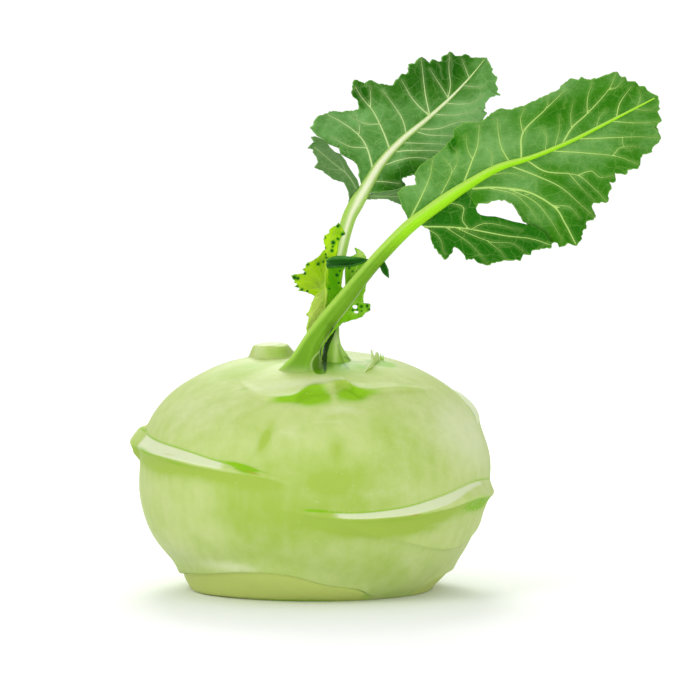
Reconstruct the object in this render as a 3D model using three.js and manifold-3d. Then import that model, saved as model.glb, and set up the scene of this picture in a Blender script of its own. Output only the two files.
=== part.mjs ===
// A kohlrabi: the swollen stem, or bulb, with two grown leaves, two heart leaves and two stalk leaflets.
// Millimetres, +Z up. The origin is the centre of the flat cut root end, and -Y is the front.
// Azimuths are degrees round the bulb from the front, positive towards +X.

import * as THREE from 'three';
import { mergeVertices } from 'three/addons/utils/BufferGeometryUtils.js';
import Module from 'manifold-3d';

const wasm = await Module();
wasm.setup();

const DEGREE = Math.PI / 180;
const GAP = 0.3;
const BLADE_THICKNESS = 0.9;
const YOUNG_THICKNESS = 0.8;

// A leaf's saw teeth: where along one tooth its notch and its tip lie, and how unevenly deep they are.
const TOOTH = { notch: 0.35, tip: 0.75, unevenness: 0.6, cornerTurn: 5.3, toothTurn: 2.1 };
// How far the prism that cuts a leaf's outline reaches above and below its frame.
const CUTTER_REACH = 30;

// ---------------------------------------------------------------------------
// Driving dimensions
// ---------------------------------------------------------------------------

const BULB = {
  radius: 49.2,
  widestHeight: 30,
  topHeight: 65.6,
  shoulderPower: 2.3,
  undersideDepth: 40,
  lean: 6 * DEGREE,
  crownHollow: 1.5,
  crownHollowRadius: 13,
  poleFade: 6,
  rootSettle: 2.5,
  columns: 76,
  rows: 42,
  rimDensity: 1.8,
  rimDensityReach: 2.4,
  rimDensityTop: 1.5,
};

// Each crescent ledge is the scar of a fallen leaf. Its rim runs through rows of
// [degrees from the apex, height, shelf width above the rim, rise of the rim].
// Below the rim the surface falls back over `fall`, into a hollow of depth `hollow`.
const LEDGES = [
  {
    azimuth: -88,
    fall: 7,
    hollow: 0.3,
    rim: [[-85, 34, 0.5, 0], [-48, 39, 3, 1.8], [0, 40.2, 4.4, 1.8], [17, 40.4, 3.8, 2.1],
      [40, 40.2, 3.2, 2], [60, 38.9, 2.2, 1.3], [72, 38.3, 1, 0.6], [82, 36, 0.5, 0]],
  },
  {
    azimuth: 72,
    fall: 8,
    hollow: 0.2,
    rim: [[-84, 29.5, 0.6, 0], [-62, 26.2, 1.2, 0.9], [-44, 26.7, 1.9, 1.5], [-28, 27.6, 2.7, 1.9],
      [-12, 28.8, 3.2, 2.3], [0, 28, 4, 2.4], [20, 27.4, 3, 1.4], [50, 24, 0.6, 0]],
  },
  {
    azimuth: 118,
    fall: 7,
    hollow: 0.2,
    rim: [[-40, 46, 0.5, 0], [-22, 48.4, 2.4, 1.7], [0, 51, 3.2, 2.8], [26, 49, 2.2, 1.7],
      [48, 45.5, 0.5, 0]],
  },
  {
    azimuth: -148,
    fall: 7,
    hollow: 0.2,
    rim: [[-36, 50, 0.5, 0], [-18, 52.5, 2, 1.5], [0, 54, 3, 2.6], [20, 52, 2, 1.6], [38, 49, 0.5, 0]],
  },
  {
    azimuth: 168,
    fall: 8,
    hollow: 0.2,
    rim: [[-52, 24, 0.5, 0], [-28, 27, 2, 1.5], [0, 29, 3.4, 2.8], [30, 26.5, 2, 1.5], [58, 22.5, 0.5, 0]],
  },
  {
    azimuth: -120,
    fall: 6,
    hollow: 0.2,
    rim: [[-44, 14, 0.5, 0], [-20, 17, 2, 1.3], [0, 18, 2.6, 1.9], [22, 16.5, 1.8, 1.2], [46, 13, 0.5, 0]],
  },
  {
    // The collar: the skin bulges over the flat, pale band round the cut root end.
    azimuth: -20,
    fall: 1.8,
    hollow: 0.9,
    rim: [[-180, 4.4, 5, 0.6], [-120, 4, 5, 0.6], [-48, 5, 5, 0.9], [-31, 6.9, 5, 1.1], [-4, 9.2, 5, 1.2],
      [10, 8.4, 5, 1.2], [39, 4.8, 4, 0.8], [64, 2.2, 3, 0.3], [90, 4.2, 4, 0.6], [130, 5, 5, 0.7],
      [180, 4.4, 5, 0.6]],
  },
  {
    // The crown rim below the front leaf, with a deep hollow under its middle.
    azimuth: 8,
    fall: 4.6,
    hollow: 0.9,
    rim: [[-58, 62, 0.5, 0], [-36, 60.3, 4, 1.1], [-20, 58.9, 5, 1.5], [-9, 61, 5, 1.8], [6, 61.6, 5, 1.8],
      [13, 61.8, 5, 1.9], [17, 60.4, 5, 1.7], [38, 59.4, 4, 1.1], [66, 58.8, 0.5, 0]],
  },
  {
    // The faint heel crease below the right-hand scar.
    azimuth: 58,
    fall: 2.2,
    hollow: 0,
    rim: [[-34, 23, 3, 0], [-16, 17, 5, 0.6], [2, 14.6, 6, 0.8], [20, 15.6, 5, 0.6], [34, 20, 3, 0]],
  },
];

// Broad swellings and flats of the bulb: [azimuth, height, amount, spread in degrees, spread in mm].
const SWELLINGS = [
  [-90, 49, 1.1, 45, 10],
  [-90, 7, -1.2, 40, 6],
  [-75, 0, 2, 40, 3.5],
  [90, 15, -1.7, 42, 15],
  [150, 40, -1.1, 35, 14],
  [-160, 22, 0.9, 35, 14],
  [10, 44, 0.5, 26, 9],
];

// A ledge's shelf climbs to its rim by this power.
const SHELF_POWER = 1.4;

// Cut leaf stubs: [azimuth, distance down from the pole, height, radius]. Each is flat inside `STUB_FLAT`
// of its radius and falls away outside it.
const STUB_FLAT = 0.55;
const STUBS = [
  [-112, 14.2, 3.1, 6.2],
  [-88, 57.6, 1.8, 5.4],
];

// The crown flap: a torn strip of skin with fibres, on the right of the crown.
const CROWN_FLAP = {
  origin: [15.8, -12.6, 62.8],
  along: [0.24, 0.95, 0.17],
  normal: [0.96, -0.25, 0.04],
  outline: [[-9, -2.4], [-7.6, 0.2], [-4, 0.9], [0, 1.4], [1.4, 2.6], [2.2, 4], [3, 2.2], [4, 1.8],
    [6.4, 1.1], [7.2, 2.2], [7.8, 1], [8.5, 0.9], [9, 1.8], [9.5, 0.6], [10, -2.4]],
  thickness: YOUNG_THICKNESS,
  step: 2,
};

// The two stalks below their blades: rows of [x, y, z, half width seen from the front, half thickness].
// On the blades they run on as midribs: rows of [place along the blade, half width, half thickness].
const FRONT_STALK = {
  sides: 10,
  stations: 30,
  side: [0.7, 0, -0.7],
  rows: [[-6, -17, 56.5, 7.2, 5.8], [-3.2, -17.8, 62.5, 5, 4.4], [-0.9, -18, 69.2, 2.9, 2.9],
    [2.8, -18, 74.8, 2.6, 2.7], [8, -18, 81.3, 2.4, 2.5], [13.3, -18, 88, 2, 2.2], [18.8, -18, 94.3, 1.9, 2]],
  ribStand: 0.3,
  rib: [[0, 1.85, 1.9], [6, 1.75, 1.8], [12, 1.7, 1.7], [18, 1.5, 1.5], [29, 1.2, 1.1], [39, 0.8, 0.9],
    [50, 0.7, 0.8]],
};
const BACK_STALK = {
  sides: 10,
  stations: 26,
  side: [0.9, 0, -0.4],
  rows: [[7.6, -9, 57, 6.4, 6], [6, -7, 62.5, 4.5, 4.4], [4.7, -3.8, 67.5, 2.7, 3],
    [4.4, 0.4, 74.4, 2.2, 2.4], [5, 3.8, 84.2, 2.1, 2.2], [6.6, 6.2, 93.7, 1.9, 2],
    [8.8, 8.8, 102.6, 1.8, 1.8], [10.9, 10.5, 107, 1.8, 1.7]],
  ribStand: -0.3,
  rib: [[0.5, 1.7, 1.5], [9, 1.4, 1.3], [18, 1.1, 1.1], [27, 0.8, 0.8]],
};

// ---------------------------------------------------------------------------
// Small helpers
// ---------------------------------------------------------------------------

function clamp01(value) {
  return Math.min(1, Math.max(0, value));
}

function smooth(value) {
  const t = clamp01(value);
  return t * t * (3 - 2 * t);
}

function gaussian(value) {
  return Math.exp(-value * value);
}

function wrapDegrees(angle) {
  return ((((angle + 180) % 360) + 360) % 360) - 180;
}

// Catmull-Rom value at x of rows whose first number is x. Outside the rows the end row holds.
function splineAt(rows, x) {
  const last = rows.length - 1;
  if (x <= rows[0][0]) return rows[0].slice(1);
  if (x >= rows[last][0]) return rows[last].slice(1);
  const i = rows.findIndex((row) => row[0] > x) - 1;
  const span = rows[i + 1][0] - rows[i][0];
  const t = (x - rows[i][0]) / span;
  const before = rows[Math.max(i - 1, 0)];
  const after = rows[Math.min(i + 2, last)];
  return rows[i].slice(1).map((start, k) => {
    const end = rows[i + 1][k + 1];
    const slopeIn = ((end - before[k + 1]) / (rows[i + 1][0] - before[0])) * span;
    const slopeOut = ((after[k + 1] - start) / (after[0] - rows[i][0])) * span;
    const t2 = t * t;
    const t3 = t2 * t;
    const ease = 3 * t2 - 2 * t3;
    return start * (1 - ease) + end * ease + slopeIn * (t3 - 2 * t2 + t) + slopeOut * (t3 - t2);
  });
}

function geometryFrom(points, triangles) {
  const geometry = new THREE.BufferGeometry();
  geometry.setAttribute('position', new THREE.Float32BufferAttribute(points.flat(), 3));
  geometry.setIndex(triangles.flat());
  return geometry;
}

function toSolid(geometry) {
  const bare = geometry.clone();
  bare.deleteAttribute('normal');
  bare.deleteAttribute('uv');
  const merged = mergeVertices(bare, 1e-4);
  const vertProperties = new Float32Array(merged.attributes.position.array);
  const triVerts = new Uint32Array(merged.index.array);
  return new wasm.Manifold(new wasm.Mesh({ numProp: 3, vertProperties, triVerts }));
}

// The largest connected body of a solid: loose scraps of a cut are dropped.
function mainBody(solid) {
  return solid.decompose().reduce((best, body) => (body.volume() > best.volume() ? body : best));
}

function toGeometry(solid) {
  const mesh = solid.getMesh();
  const geometry = new THREE.BufferGeometry();
  geometry.setAttribute('position', new THREE.Float32BufferAttribute(mesh.vertProperties, 3));
  geometry.setIndex(Array.from(mesh.triVerts));
  return geometry;
}

// ---------------------------------------------------------------------------
// The bulb
// ---------------------------------------------------------------------------

// Half outline of the bulb from the pole to the cut root end: rows of [arc length, radius, height].
// Above the widest height it is a superellipse, below it an ellipse that the root cut truncates.
function bulbMeridian() {
  const steps = 400;
  const rootAngle = Math.PI - Math.acos(BULB.widestHeight / BULB.undersideDepth);
  const rows = [];
  for (let i = 0; i <= steps; i += 1) {
    const angle = (rootAngle * i) / steps;
    const power = angle < Math.PI / 2 ? 2 / BULB.shoulderPower : 1;
    const depth = angle < Math.PI / 2 ? BULB.topHeight - BULB.widestHeight : BULB.undersideDepth;
    const radius = BULB.radius * Math.sin(angle) ** power;
    const cosine = Math.cos(angle);
    const height = BULB.widestHeight + depth * Math.sign(cosine) * Math.abs(cosine) ** power;
    const previous = rows[i - 1];
    const arc = previous ? previous[0] + Math.hypot(radius - previous[1], height - previous[2]) : 0;
    rows.push([arc, radius, height]);
  }
  return rows;
}

const MERIDIAN = bulbMeridian();
const MERIDIAN_LENGTH = MERIDIAN[MERIDIAN.length - 1][0];

// Radius, height and outward normal of the bare meridian at an arc length from the pole.
function meridianAt(arc) {
  let low = 0;
  let high = MERIDIAN.length - 1;
  while (high - low > 1) {
    const middle = (low + high) >> 1;
    if (MERIDIAN[middle][0] > arc) high = middle;
    else low = middle;
  }
  const [arcA, radiusA, heightA] = MERIDIAN[low];
  const [arcB, radiusB, heightB] = MERIDIAN[high];
  const t = (arc - arcA) / (arcB - arcA);
  const length = Math.hypot(radiusB - radiusA, heightB - heightA);
  return {
    radius: radiusA + (radiusB - radiusA) * t,
    height: heightA + (heightB - heightA) * t,
    outward: (heightA - heightB) / length,
    upward: (radiusB - radiusA) / length,
  };
}

function arcAtHeight(height) {
  const below = MERIDIAN.findIndex((row) => row[2] <= height);
  return MERIDIAN[Math.max(below, 1)][0];
}

// A ledge's rim where it crosses an azimuth, or null beyond its wings.
function rimAt(ledge, azimuth) {
  const offset = wrapDegrees(azimuth - ledge.azimuth);
  const wings = ledge.rim;
  if (offset < wings[0][0] || offset > wings[wings.length - 1][0]) return null;
  const [height, shelf, rise] = splineAt(wings, offset);
  return { arc: arcAtHeight(height), shelf: Math.max(shelf, 0.4), rise: Math.max(rise, 0) };
}

// Lift of one ledge at a signed distance below its rim: a ramp up the shelf, then a fall and a hollow.
function ledgeLift(ledge, rim, below) {
  if (below < 0) return rim.rise * clamp01(1 + below / rim.shelf) ** SHELF_POWER;
  const fallen = clamp01(below / ledge.fall);
  const hollow = ledge.hollow * rim.rise * Math.sin(Math.PI * Math.sqrt(fallen)) ** 2;
  return rim.rise * (1 - fallen) ** 2 - hollow;
}

function swellingLift(azimuth, height) {
  return SWELLINGS.reduce((sum, [centre, level, amount, degrees, spread]) => {
    const round = wrapDegrees(azimuth - centre) / degrees;
    return sum + amount * gaussian(round) * gaussian((height - level) / spread);
  }, 0);
}

function stubLift(azimuth, arc, radius) {
  return STUBS.reduce((sum, [centre, level, height, reach]) => {
    const round = wrapDegrees(azimuth - centre) * DEGREE * radius;
    const distance = Math.hypot(round, arc - level) / reach;
    return sum + height * (1 - smooth((distance - STUB_FLAT) / (1 - STUB_FLAT)));
  }, 0);
}

// The crown is dished where the leaves spring from it.
function crownHollow(arc) {
  return BULB.crownHollow * gaussian(arc / BULB.crownHollowRadius);
}

// The stem leans towards the front as it grows, so the crown faces forwards and the root end stays level.
function leanForward([x, y, z]) {
  const grown = Math.max(z, 0) / BULB.topHeight;
  const shift = (BULB.topHeight * BULB.lean * grown * grown) / 2;
  return [x, y - shift, z + y * Math.sin(BULB.lean * grown)];
}

function bulbPoint(azimuth, arc, rims, grow) {
  const { radius, height, outward, upward } = meridianAt(arc);
  const settle = smooth((MERIDIAN_LENGTH - arc) / BULB.rootSettle);
  const ledges = rims.reduce((sum, { ledge, rim }) => sum + ledgeLift(ledge, rim, arc - rim.arc), 0);
  const poleFade = smooth(arc / BULB.poleFade);
  const relief = (ledges + swellingLift(azimuth, height)) * poleFade + stubLift(azimuth, arc, radius);
  const lift = relief + grow - crownHollow(arc);
  const angle = azimuth * DEGREE;
  const reach = Math.max(radius + outward * lift, 0);
  const level = Math.max(height + upward * lift * (upward > 0 ? 1 : settle), 0);
  return leanForward([reach * Math.sin(angle), -reach * Math.cos(angle), level]);
}

// Arc lengths of one column's rows, closer together where a rim is near.
function columnArcs(rims) {
  const samples = 240;
  const density = [];
  let total = 0;
  for (let i = 0; i < samples; i += 1) {
    const arc = ((i + 0.5) / samples) * MERIDIAN_LENGTH;
    const near = rims.reduce((sum, { rim }) => {
      const weight = Math.min(rim.rise, BULB.rimDensityTop);
      return sum + weight * gaussian((arc - rim.arc) / BULB.rimDensityReach);
    }, 0);
    total += 1 + BULB.rimDensity * near;
    density.push(total);
  }
  const arcs = [];
  for (let row = 1; row <= BULB.rows; row += 1) {
    const wanted = (row / BULB.rows) * total;
    const i = density.findIndex((sum) => sum >= wanted - 1e-9);
    const before = i > 0 ? density[i - 1] : 0;
    arcs.push(((i + (wanted - before) / (density[i] - before)) / samples) * MERIDIAN_LENGTH);
  }
  return arcs;
}

// The bulb's closed surface, with every point moved out by `grow`.
function bulbSurface(grow) {
  const points = [leanForward([0, 0, BULB.topHeight + grow - crownHollow(0)])];
  const triangles = [];
  const { columns, rows } = BULB;
  for (let column = 0; column < columns; column += 1) {
    const azimuth = (360 * column) / columns - 180;
    const rims = LEDGES.map((ledge) => ({ ledge, rim: rimAt(ledge, azimuth) })).filter(({ rim }) => rim);
    columnArcs(rims).forEach((arc) => points.push(bulbPoint(azimuth, arc, rims, grow)));
    const here = 1 + column * rows;
    const next = 1 + ((column + 1) % columns) * rows;
    triangles.push([0, here, next]);
    for (let row = 0; row + 1 < rows; row += 1) {
      triangles.push([here + row, here + row + 1, next + row + 1]);
      triangles.push([here + row, next + row + 1, next + row]);
    }
  }
  const rootCentre = points.length;
  points.push([0, 0, 0]);
  for (let column = 0; column < columns; column += 1) {
    const here = column * rows + rows;
    const next = ((column + 1) % columns) * rows + rows;
    triangles.push([rootCentre, next, here]);
  }
  return geometryFrom(points, triangles);
}

// ---------------------------------------------------------------------------
// Leaf sheets and stalks
// ---------------------------------------------------------------------------

// A leaf's own frame: `along` runs to its tip, `across` to its left seen from `normal`.
function leafFrame({ origin, along, normal }) {
  const tipward = new THREE.Vector3(...along).normalize();
  const facing = new THREE.Vector3(...normal);
  facing.addScaledVector(tipward, -facing.dot(tipward)).normalize();
  const across = new THREE.Vector3().crossVectors(facing, tipward);
  return new THREE.Matrix4().makeBasis(tipward, across, facing).setPosition(...origin);
}

// Adds uneven saw teeth to a contour: between two corners each tooth has a notch and a tip.
function toothed(corners, pitch, evenDepth) {
  const outline = [];
  corners.forEach(([x, y], i) => {
    const [nextX, nextY] = corners[(i + 1) % corners.length];
    const length = Math.hypot(nextX - x, nextY - y);
    const count = Math.round(length / pitch);
    outline.push([x, y]);
    for (let tooth = 0; tooth < count; tooth += 1) {
      const swing = Math.sin(TOOTH.cornerTurn * i + TOOTH.toothTurn * tooth);
      const depth = evenDepth * (1 + TOOTH.unevenness * swing);
      const notch = (tooth + TOOTH.notch) / count;
      const tip = (tooth + TOOTH.tip) / count;
      const outX = (nextY - y) / length;
      const outY = -(nextX - x) / length;
      outline.push([x + (nextX - x) * notch - outX * depth, y + (nextY - y) * notch - outY * depth]);
      outline.push([x + (nextX - x) * tip + outX * depth, y + (nextY - y) * tip + outY * depth]);
    }
  });
  return outline;
}

// A closed slab that follows z = height(x, y), with the same split into triangles on both faces.
function wavedSlab(box, step, height, thickness) {
  const columns = Math.ceil((box.max.x - box.min.x) / step);
  const rows = Math.ceil((box.max.y - box.min.y) / step);
  const points = [];
  const triangles = [];
  const at = (column, row, face) => (column * (rows + 1) + row) * 2 + face;
  for (let column = 0; column <= columns; column += 1) {
    for (let row = 0; row <= rows; row += 1) {
      const x = box.min.x + column * step;
      const y = box.min.y + row * step;
      const middle = height(x, y);
      points.push([x, y, middle - thickness / 2], [x, y, middle + thickness / 2]);
    }
  }
  for (let column = 0; column < columns; column += 1) {
    for (let row = 0; row < rows; row += 1) {
      const corners = [[column, row], [column + 1, row], [column + 1, row + 1], [column, row + 1]];
      const [lowA, lowB, lowC, lowD] = corners.map(([c, r]) => at(c, r, 0));
      const [topA, topB, topC, topD] = corners.map(([c, r]) => at(c, r, 1));
      triangles.push([topA, topB, topC], [topA, topC, topD]);
      triangles.push([lowA, lowC, lowB], [lowA, lowD, lowC]);
    }
  }
  const wall = (from, to) => {
    const [fromLow, toLow] = [at(...from, 0), at(...to, 0)];
    const [fromTop, toTop] = [at(...from, 1), at(...to, 1)];
    triangles.push([fromLow, toLow, toTop], [fromLow, toTop, fromTop]);
  };
  for (let column = 0; column < columns; column += 1) {
    wall([column, 0], [column + 1, 0]);
    wall([column + 1, rows], [column, rows]);
  }
  for (let row = 0; row < rows; row += 1) {
    wall([columns, row], [columns, row + 1]);
    wall([0, row + 1], [0, row]);
  }
  return toSolid(geometryFrom(points, triangles));
}

// A leaf sheet: a waved slab cut to its outline, in the leaf's frame, then placed.
function leafSheet(leaf) {
  const corners = leaf.tooth ? toothed(leaf.outline, leaf.tooth.pitch, leaf.tooth.depth) : leaf.outline;
  const shape = new THREE.Shape(corners.map(([x, y]) => new THREE.Vector2(x, y)));
  (leaf.holes ?? []).forEach((hole) => {
    shape.holes.push(new THREE.Path(hole.map(([x, y]) => new THREE.Vector2(x, y))));
  });
  const cutter = new THREE.ExtrudeGeometry(shape, { depth: 2 * CUTTER_REACH, bevelEnabled: false });
  cutter.translate(0, 0, -CUTTER_REACH);
  const box = new THREE.Box2().setFromPoints(corners.map(([x, y]) => new THREE.Vector2(x, y)));
  box.expandByScalar(1);
  const slab = wavedSlab(box, leaf.step, leaf.height, leaf.thickness);
  const sheet = toGeometry(slab.intersect(toSolid(cutter)));
  return toSolid(sheet.applyMatrix4(leafFrame(leaf)));
}

// The rows of a midrib, which follows its blade's middle surface and stands `ribStand` of its depth off it.
function ribRows(stalk, leaf) {
  const frame = leafFrame(leaf);
  return stalk.rib.map(([x, halfWidth, halfDepth]) => {
    const [y] = splineAt(leaf.midrib, x);
    const point = new THREE.Vector3(x, y, leaf.height(x, y) + stalk.ribStand * halfDepth);
    return [...point.applyMatrix4(frame).toArray(), halfWidth, halfDepth];
  });
}

// A stalk with an oval section that tapers along its rows, with every point moved out by `grow`.
function stalkSolid(stalk, leaf, grow) {
  const rows = [...stalk.rows, ...ribRows(stalk, leaf)];
  const path = new THREE.CatmullRomCurve3(rows.map(([x, y, z]) => new THREE.Vector3(x, y, z)), false);
  const girths = rows.map((row, i) => [i / (rows.length - 1), row[3], row[4]]);
  const points = [];
  const triangles = [];
  const { sides, stations } = stalk;
  for (let station = 0; station <= stations; station += 1) {
    const t = station / stations;
    const centre = path.getPoint(t);
    const tangent = path.getTangent(t);
    const side = new THREE.Vector3(...stalk.side);
    side.addScaledVector(tangent, -side.dot(tangent)).normalize();
    const facing = new THREE.Vector3().crossVectors(tangent, side);
    const [halfWidth, halfDepth] = splineAt(girths, t);
    for (let corner = 0; corner < sides; corner += 1) {
      const angle = (corner / sides) * 2 * Math.PI;
      const point = centre.clone();
      point.addScaledVector(side, (halfWidth + grow) * Math.cos(angle));
      point.addScaledVector(facing, (halfDepth + grow) * Math.sin(angle));
      if (station === stations) point.addScaledVector(tangent, grow);
      points.push(point.toArray());
    }
  }
  for (let station = 0; station < stations; station += 1) {
    for (let corner = 0; corner < sides; corner += 1) {
      const here = station * sides;
      const next = (corner + 1) % sides;
      triangles.push([here + corner, here + next, here + sides + next]);
      triangles.push([here + corner, here + sides + next, here + sides + corner]);
    }
  }
  for (let corner = 1; corner + 1 < sides; corner += 1) {
    const end = stations * sides;
    triangles.push([0, corner + 1, corner]);
    triangles.push([end, end + corner, end + corner + 1]);
  }
  return toSolid(geometryFrom(points, triangles));
}

// ---------------------------------------------------------------------------
// The leaves' outlines, each in its own frame: [towards the tip, towards its upper or left side]
// ---------------------------------------------------------------------------

const FRONT_BLADE = {
  origin: [25.3, -18, 101.4],
  along: [0.889, 0.026, 0.458],
  normal: [0, -0.998, 0.058],
  thickness: BLADE_THICKNESS,
  step: 4,
  tooth: { pitch: 3.2, depth: 0.4 },
  midrib: [[0, -0.4], [6, 0.7], [12, 1.6], [18, 2.3], [28, 2.8], [34, 2.4], [40, 0.9], [50, 0.2], [77, 0.2]],
  outline: [
    // lower edge of the basal lobe, from the stalk outwards
    [3.5, -1], [4.8, -4], [3.8, -7.5], [4.6, -12.6], [8.4, -10.8], [9.8, -15.4], [12.4, -16.4],
    [15, -19.4], [19.5, -20.6], [23.2, -22.2], [27, -21.8], [32.2, -23.2],
    // slit and gap between the basal lobe and the rest of the blade
    [32.4, -20], [30.6, -15.9], [27.2, -13.2], [22.4, -9], [19.3, -6.6], [18.7, -4.4],
    [22.4, -4.4], [26.2, -5.6], [28.6, -9], [29.4, -13], [31.6, -15.9], [33.2, -20], [33.4, -22.4],
    // lower margin to the tip
    [36.9, -24.3], [38.7, -26], [42, -23.2], [46.2, -22], [47.4, -18.6], [52, -19.2], [53.2, -17],
    [56.2, -15.4], [57.6, -13.2], [60, -14.4], [65, -14.3], [68.4, -12.2], [73, -10.6], [73.4, -7.4],
    [75.4, -6], [77.2, -1.4],
    // upper margin back to the stalk
    [76, 3.4], [73.6, 6], [71.6, 9], [70, 11.7], [65.6, 12.2], [61, 14.6], [55.4, 15.2], [49, 14.5],
    [43.9, 14.8], [37.6, 17.1], [30.6, 16.4], [27.2, 17.8], [23.5, 17.8], [19.8, 15], [14.3, 13.5],
    [9.6, 13], [7.2, 9.2], [2.2, 9.6], [1.1, 5.4], [1.4, 1.8],
  ],
};

// The back leaf's three sheets share one frame: its blade, and the two ears that fold forwards below it.
const BACK_LEAF = {
  origin: [12.9, 12, 110.6],
  along: [0.683, 0.042, 0.73],
  normal: [0, -0.998, 0.058],
  thickness: BLADE_THICKNESS,
  step: 3.6,
  tooth: { pitch: 3, depth: 0.4 },
  midrib: [[0, -0.6], [5, 0.9], [10, 1.4], [15, 1.6], [20, 1.4], [29, 0.3], [41, -0.3], [52, 0.3]],
};

const BACK_BLADE = {
  ...BACK_LEAF,
  outline: [
    // right margin from the stalk to the tip: the lower part is behind the front leaf
    [-1, -0.4], [1.4, -2.6], [6, -6.6], [9.4, -8], [9.7, -5.8], [13.2, -7.6], [14.6, -12], [18.4, -16.2],
    [24, -18.2], [29, -16.8], [33, -13.6], [37.7, -11.3], [40.3, -10.8], [42.1, -8.4], [46.6, -9.8],
    [47.8, -7], [49.7, -5.6], [50.8, -3], [51.8, 0.4],
    // left margin back to the stalk
    [49.4, 2.8], [47, 5.8], [45.8, 9], [42, 9.2], [39.4, 11], [38.9, 13.8], [35, 14.7], [31.4, 14.4],
    [27.2, 14.2], [25.4, 16.6], [24, 19.7], [21.7, 18.8], [21.1, 22.4], [18.6, 21.3], [17, 17.2],
    [14.8, 17], [11.9, 19.4], [8.4, 22], [3.2, 22.4], [2.6, 20.4], [3.2, 16], [3.6, 13], [3.4, 11.2],
    [4.8, 8], [2.8, 3.7], [0.6, 1.2],
  ],
};

const BACK_EAR_LEFT = {
  ...BACK_LEAF,
  outline: [
    [-3.2, 1.8], [-0.6, 0.4], [1.4, 4.4], [2.6, 8.8], [3.4, 14.4], [1.8, 19.7], [0.8, 20.4], [0.2, 18],
    [-1.8, 19.4], [-1.4, 17.2], [-2.2, 15.4], [-4.6, 14], [-3.8, 12], [-3.4, 7.8], [-2, 5.4],
  ],
};

const BACK_EAR_RIGHT = {
  ...BACK_LEAF,
  outline: [
    [-1, -2.6], [-0.2, -1], [1.4, -2.8], [6.1, -6.5], [11, -9.8], [12.4, -12.6], [10, -15.4], [6.6, -14.6],
    [4.6, -11.2], [2.8, -6.6],
  ],
};

// ---------------------------------------------------------------------------
// How each sheet waves: height along its normal at a place in its frame
// ---------------------------------------------------------------------------

// A blade that leans and arches along its midrib, folds at it and waves towards its margins.
// The arch is its rise at `ARCH_LENGTH`, and the waves of the two halves are out of step.
const ARCH_LENGTH = 60;
const FOLD_POWER = 1.3;
const WAVE_OFFSET = 2;

function waveBlade(leaf, { halfWidth, lean, arch, foldUp, foldDown, wave, waveLength }) {
  return (x, y) => {
    const [rib] = splineAt(leaf.midrib, x);
    const side = (y - rib) / halfWidth;
    const away = Math.abs(side);
    const fold = side > 0 ? foldUp : foldDown;
    const ripple = wave * away * Math.sin((x / waveLength) * 2 * Math.PI + (side > 0 ? 0 : WAVE_OFFSET));
    return lean * x + arch * (x / ARCH_LENGTH) ** 2 + fold * away ** FOLD_POWER + ripple;
  };
}

FRONT_BLADE.height = waveBlade(FRONT_BLADE, {
  halfWidth: 18, lean: 0.07, arch: -7, foldUp: -4, foldDown: -2.6, wave: 1.6, waveLength: 21,
});
BACK_BLADE.height = waveBlade(BACK_BLADE, {
  halfWidth: 18, lean: -0.27, arch: -1, foldUp: 4.2, foldDown: 3.4, wave: 1.4, waveLength: 17,
});
CROWN_FLAP.height = (x) => 0.03 * Math.min(x, 0) ** 2;
BACK_EAR_LEFT.height = (x, y) => 0.42 * y - 0.5 * x - 0.1 * (x - 0.5) ** 2 + 0.4 * Math.sin(y / 2);
BACK_EAR_RIGHT.height = (x, y) => -0.4 * (y + 1.6) - 0.3 * x + 0.4 * Math.sin(y / 2);

const FACING_FRONT = { along: [0, 0, 1], normal: [0, -1, 0] };

// The left heart leaf: x of its frame is up, y is to its left. It is creased along its fold.
const YOUNG_LEFT = {
  ...FACING_FRONT,
  origin: [0, -8, 60],
  thickness: YOUNG_THICKNESS,
  step: 2.2,
  outline: [
    [1, -1.4], [8, -1], [14, -2.4], [19.5, -5.6], [23.4, -7.4], [28.4, -7.6], [32, -6.6], [34.2, -8],
    [37.4, -8.4], [41.7, -6.2], [39.4, -3.2], [36.6, -2.4], [34.6, -0.8], [32.4, -1.4], [31.6, 1.2],
    [29.6, 2.4], [29.2, 4.6], [27.4, 6.6], [26.2, 4.6], [24.6, 5.4], [23.8, 3.2], [22.4, 2.6], [21, 0.4],
    [18.8, 1], [16.4, 2.6], [12, 2.2], [7, 1.4], [1, 1.2],
  ],
  height: (x, y) => 1.5 * Math.abs(y + 2.6) ** 0.8 - 2.4 + 0.4 * Math.sin(x * 1.1) * smooth((x - 18) / 6),
};

// The right heart leaf curls behind the front stalk, with one small gap in its curl.
const YOUNG_RIGHT = {
  ...FACING_FRONT,
  origin: [0, -7, 60],
  thickness: YOUNG_THICKNESS,
  step: 2.2,
  outline: [
    [1, -1.5], [8, -2.2], [12, -5], [14.4, -8], [15.2, -11], [16.6, -13.6], [19.2, -14.9], [20.2, -13.2],
    [24.4, -13.5], [27, -14.4], [30, -12.6], [32.6, -13.4], [34.8, -10.8], [33, -9.6], [30.4, -8.8],
    [24, -8], [18.4, -6.4], [13.4, -3], [8, -0.6], [1, 0],
  ],
  holes: [[[17.2, -10], [17, -11.6], [18.6, -11.8], [18.8, -10.4]]],
  height: (x, y) => 0.12 * Math.min(y + 10, 0) ** 2 - 0.12 * Math.max(y + 10, 0) + 0.3 * Math.sin(x * 1.2),
};

// The left leaflet is folded lengthwise and stands out level from the front stalk.
const LEAFLET_LEFT = {
  origin: [15, -17.4, 92.2],
  along: [-1, 0.12, -0.06],
  normal: [0.05, -0.75, 0.65],
  thickness: YOUNG_THICKNESS,
  step: 1.6,
  outline: [[-1, -0.9], [4, -1.7], [8.6, -1.9], [11.8, -1.2], [12.2, 0.3], [11.2, 1.3], [6, 1.5], [-1, 0.9]],
  height: (x, y) => 0.5 * Math.abs(y),
};

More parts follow.
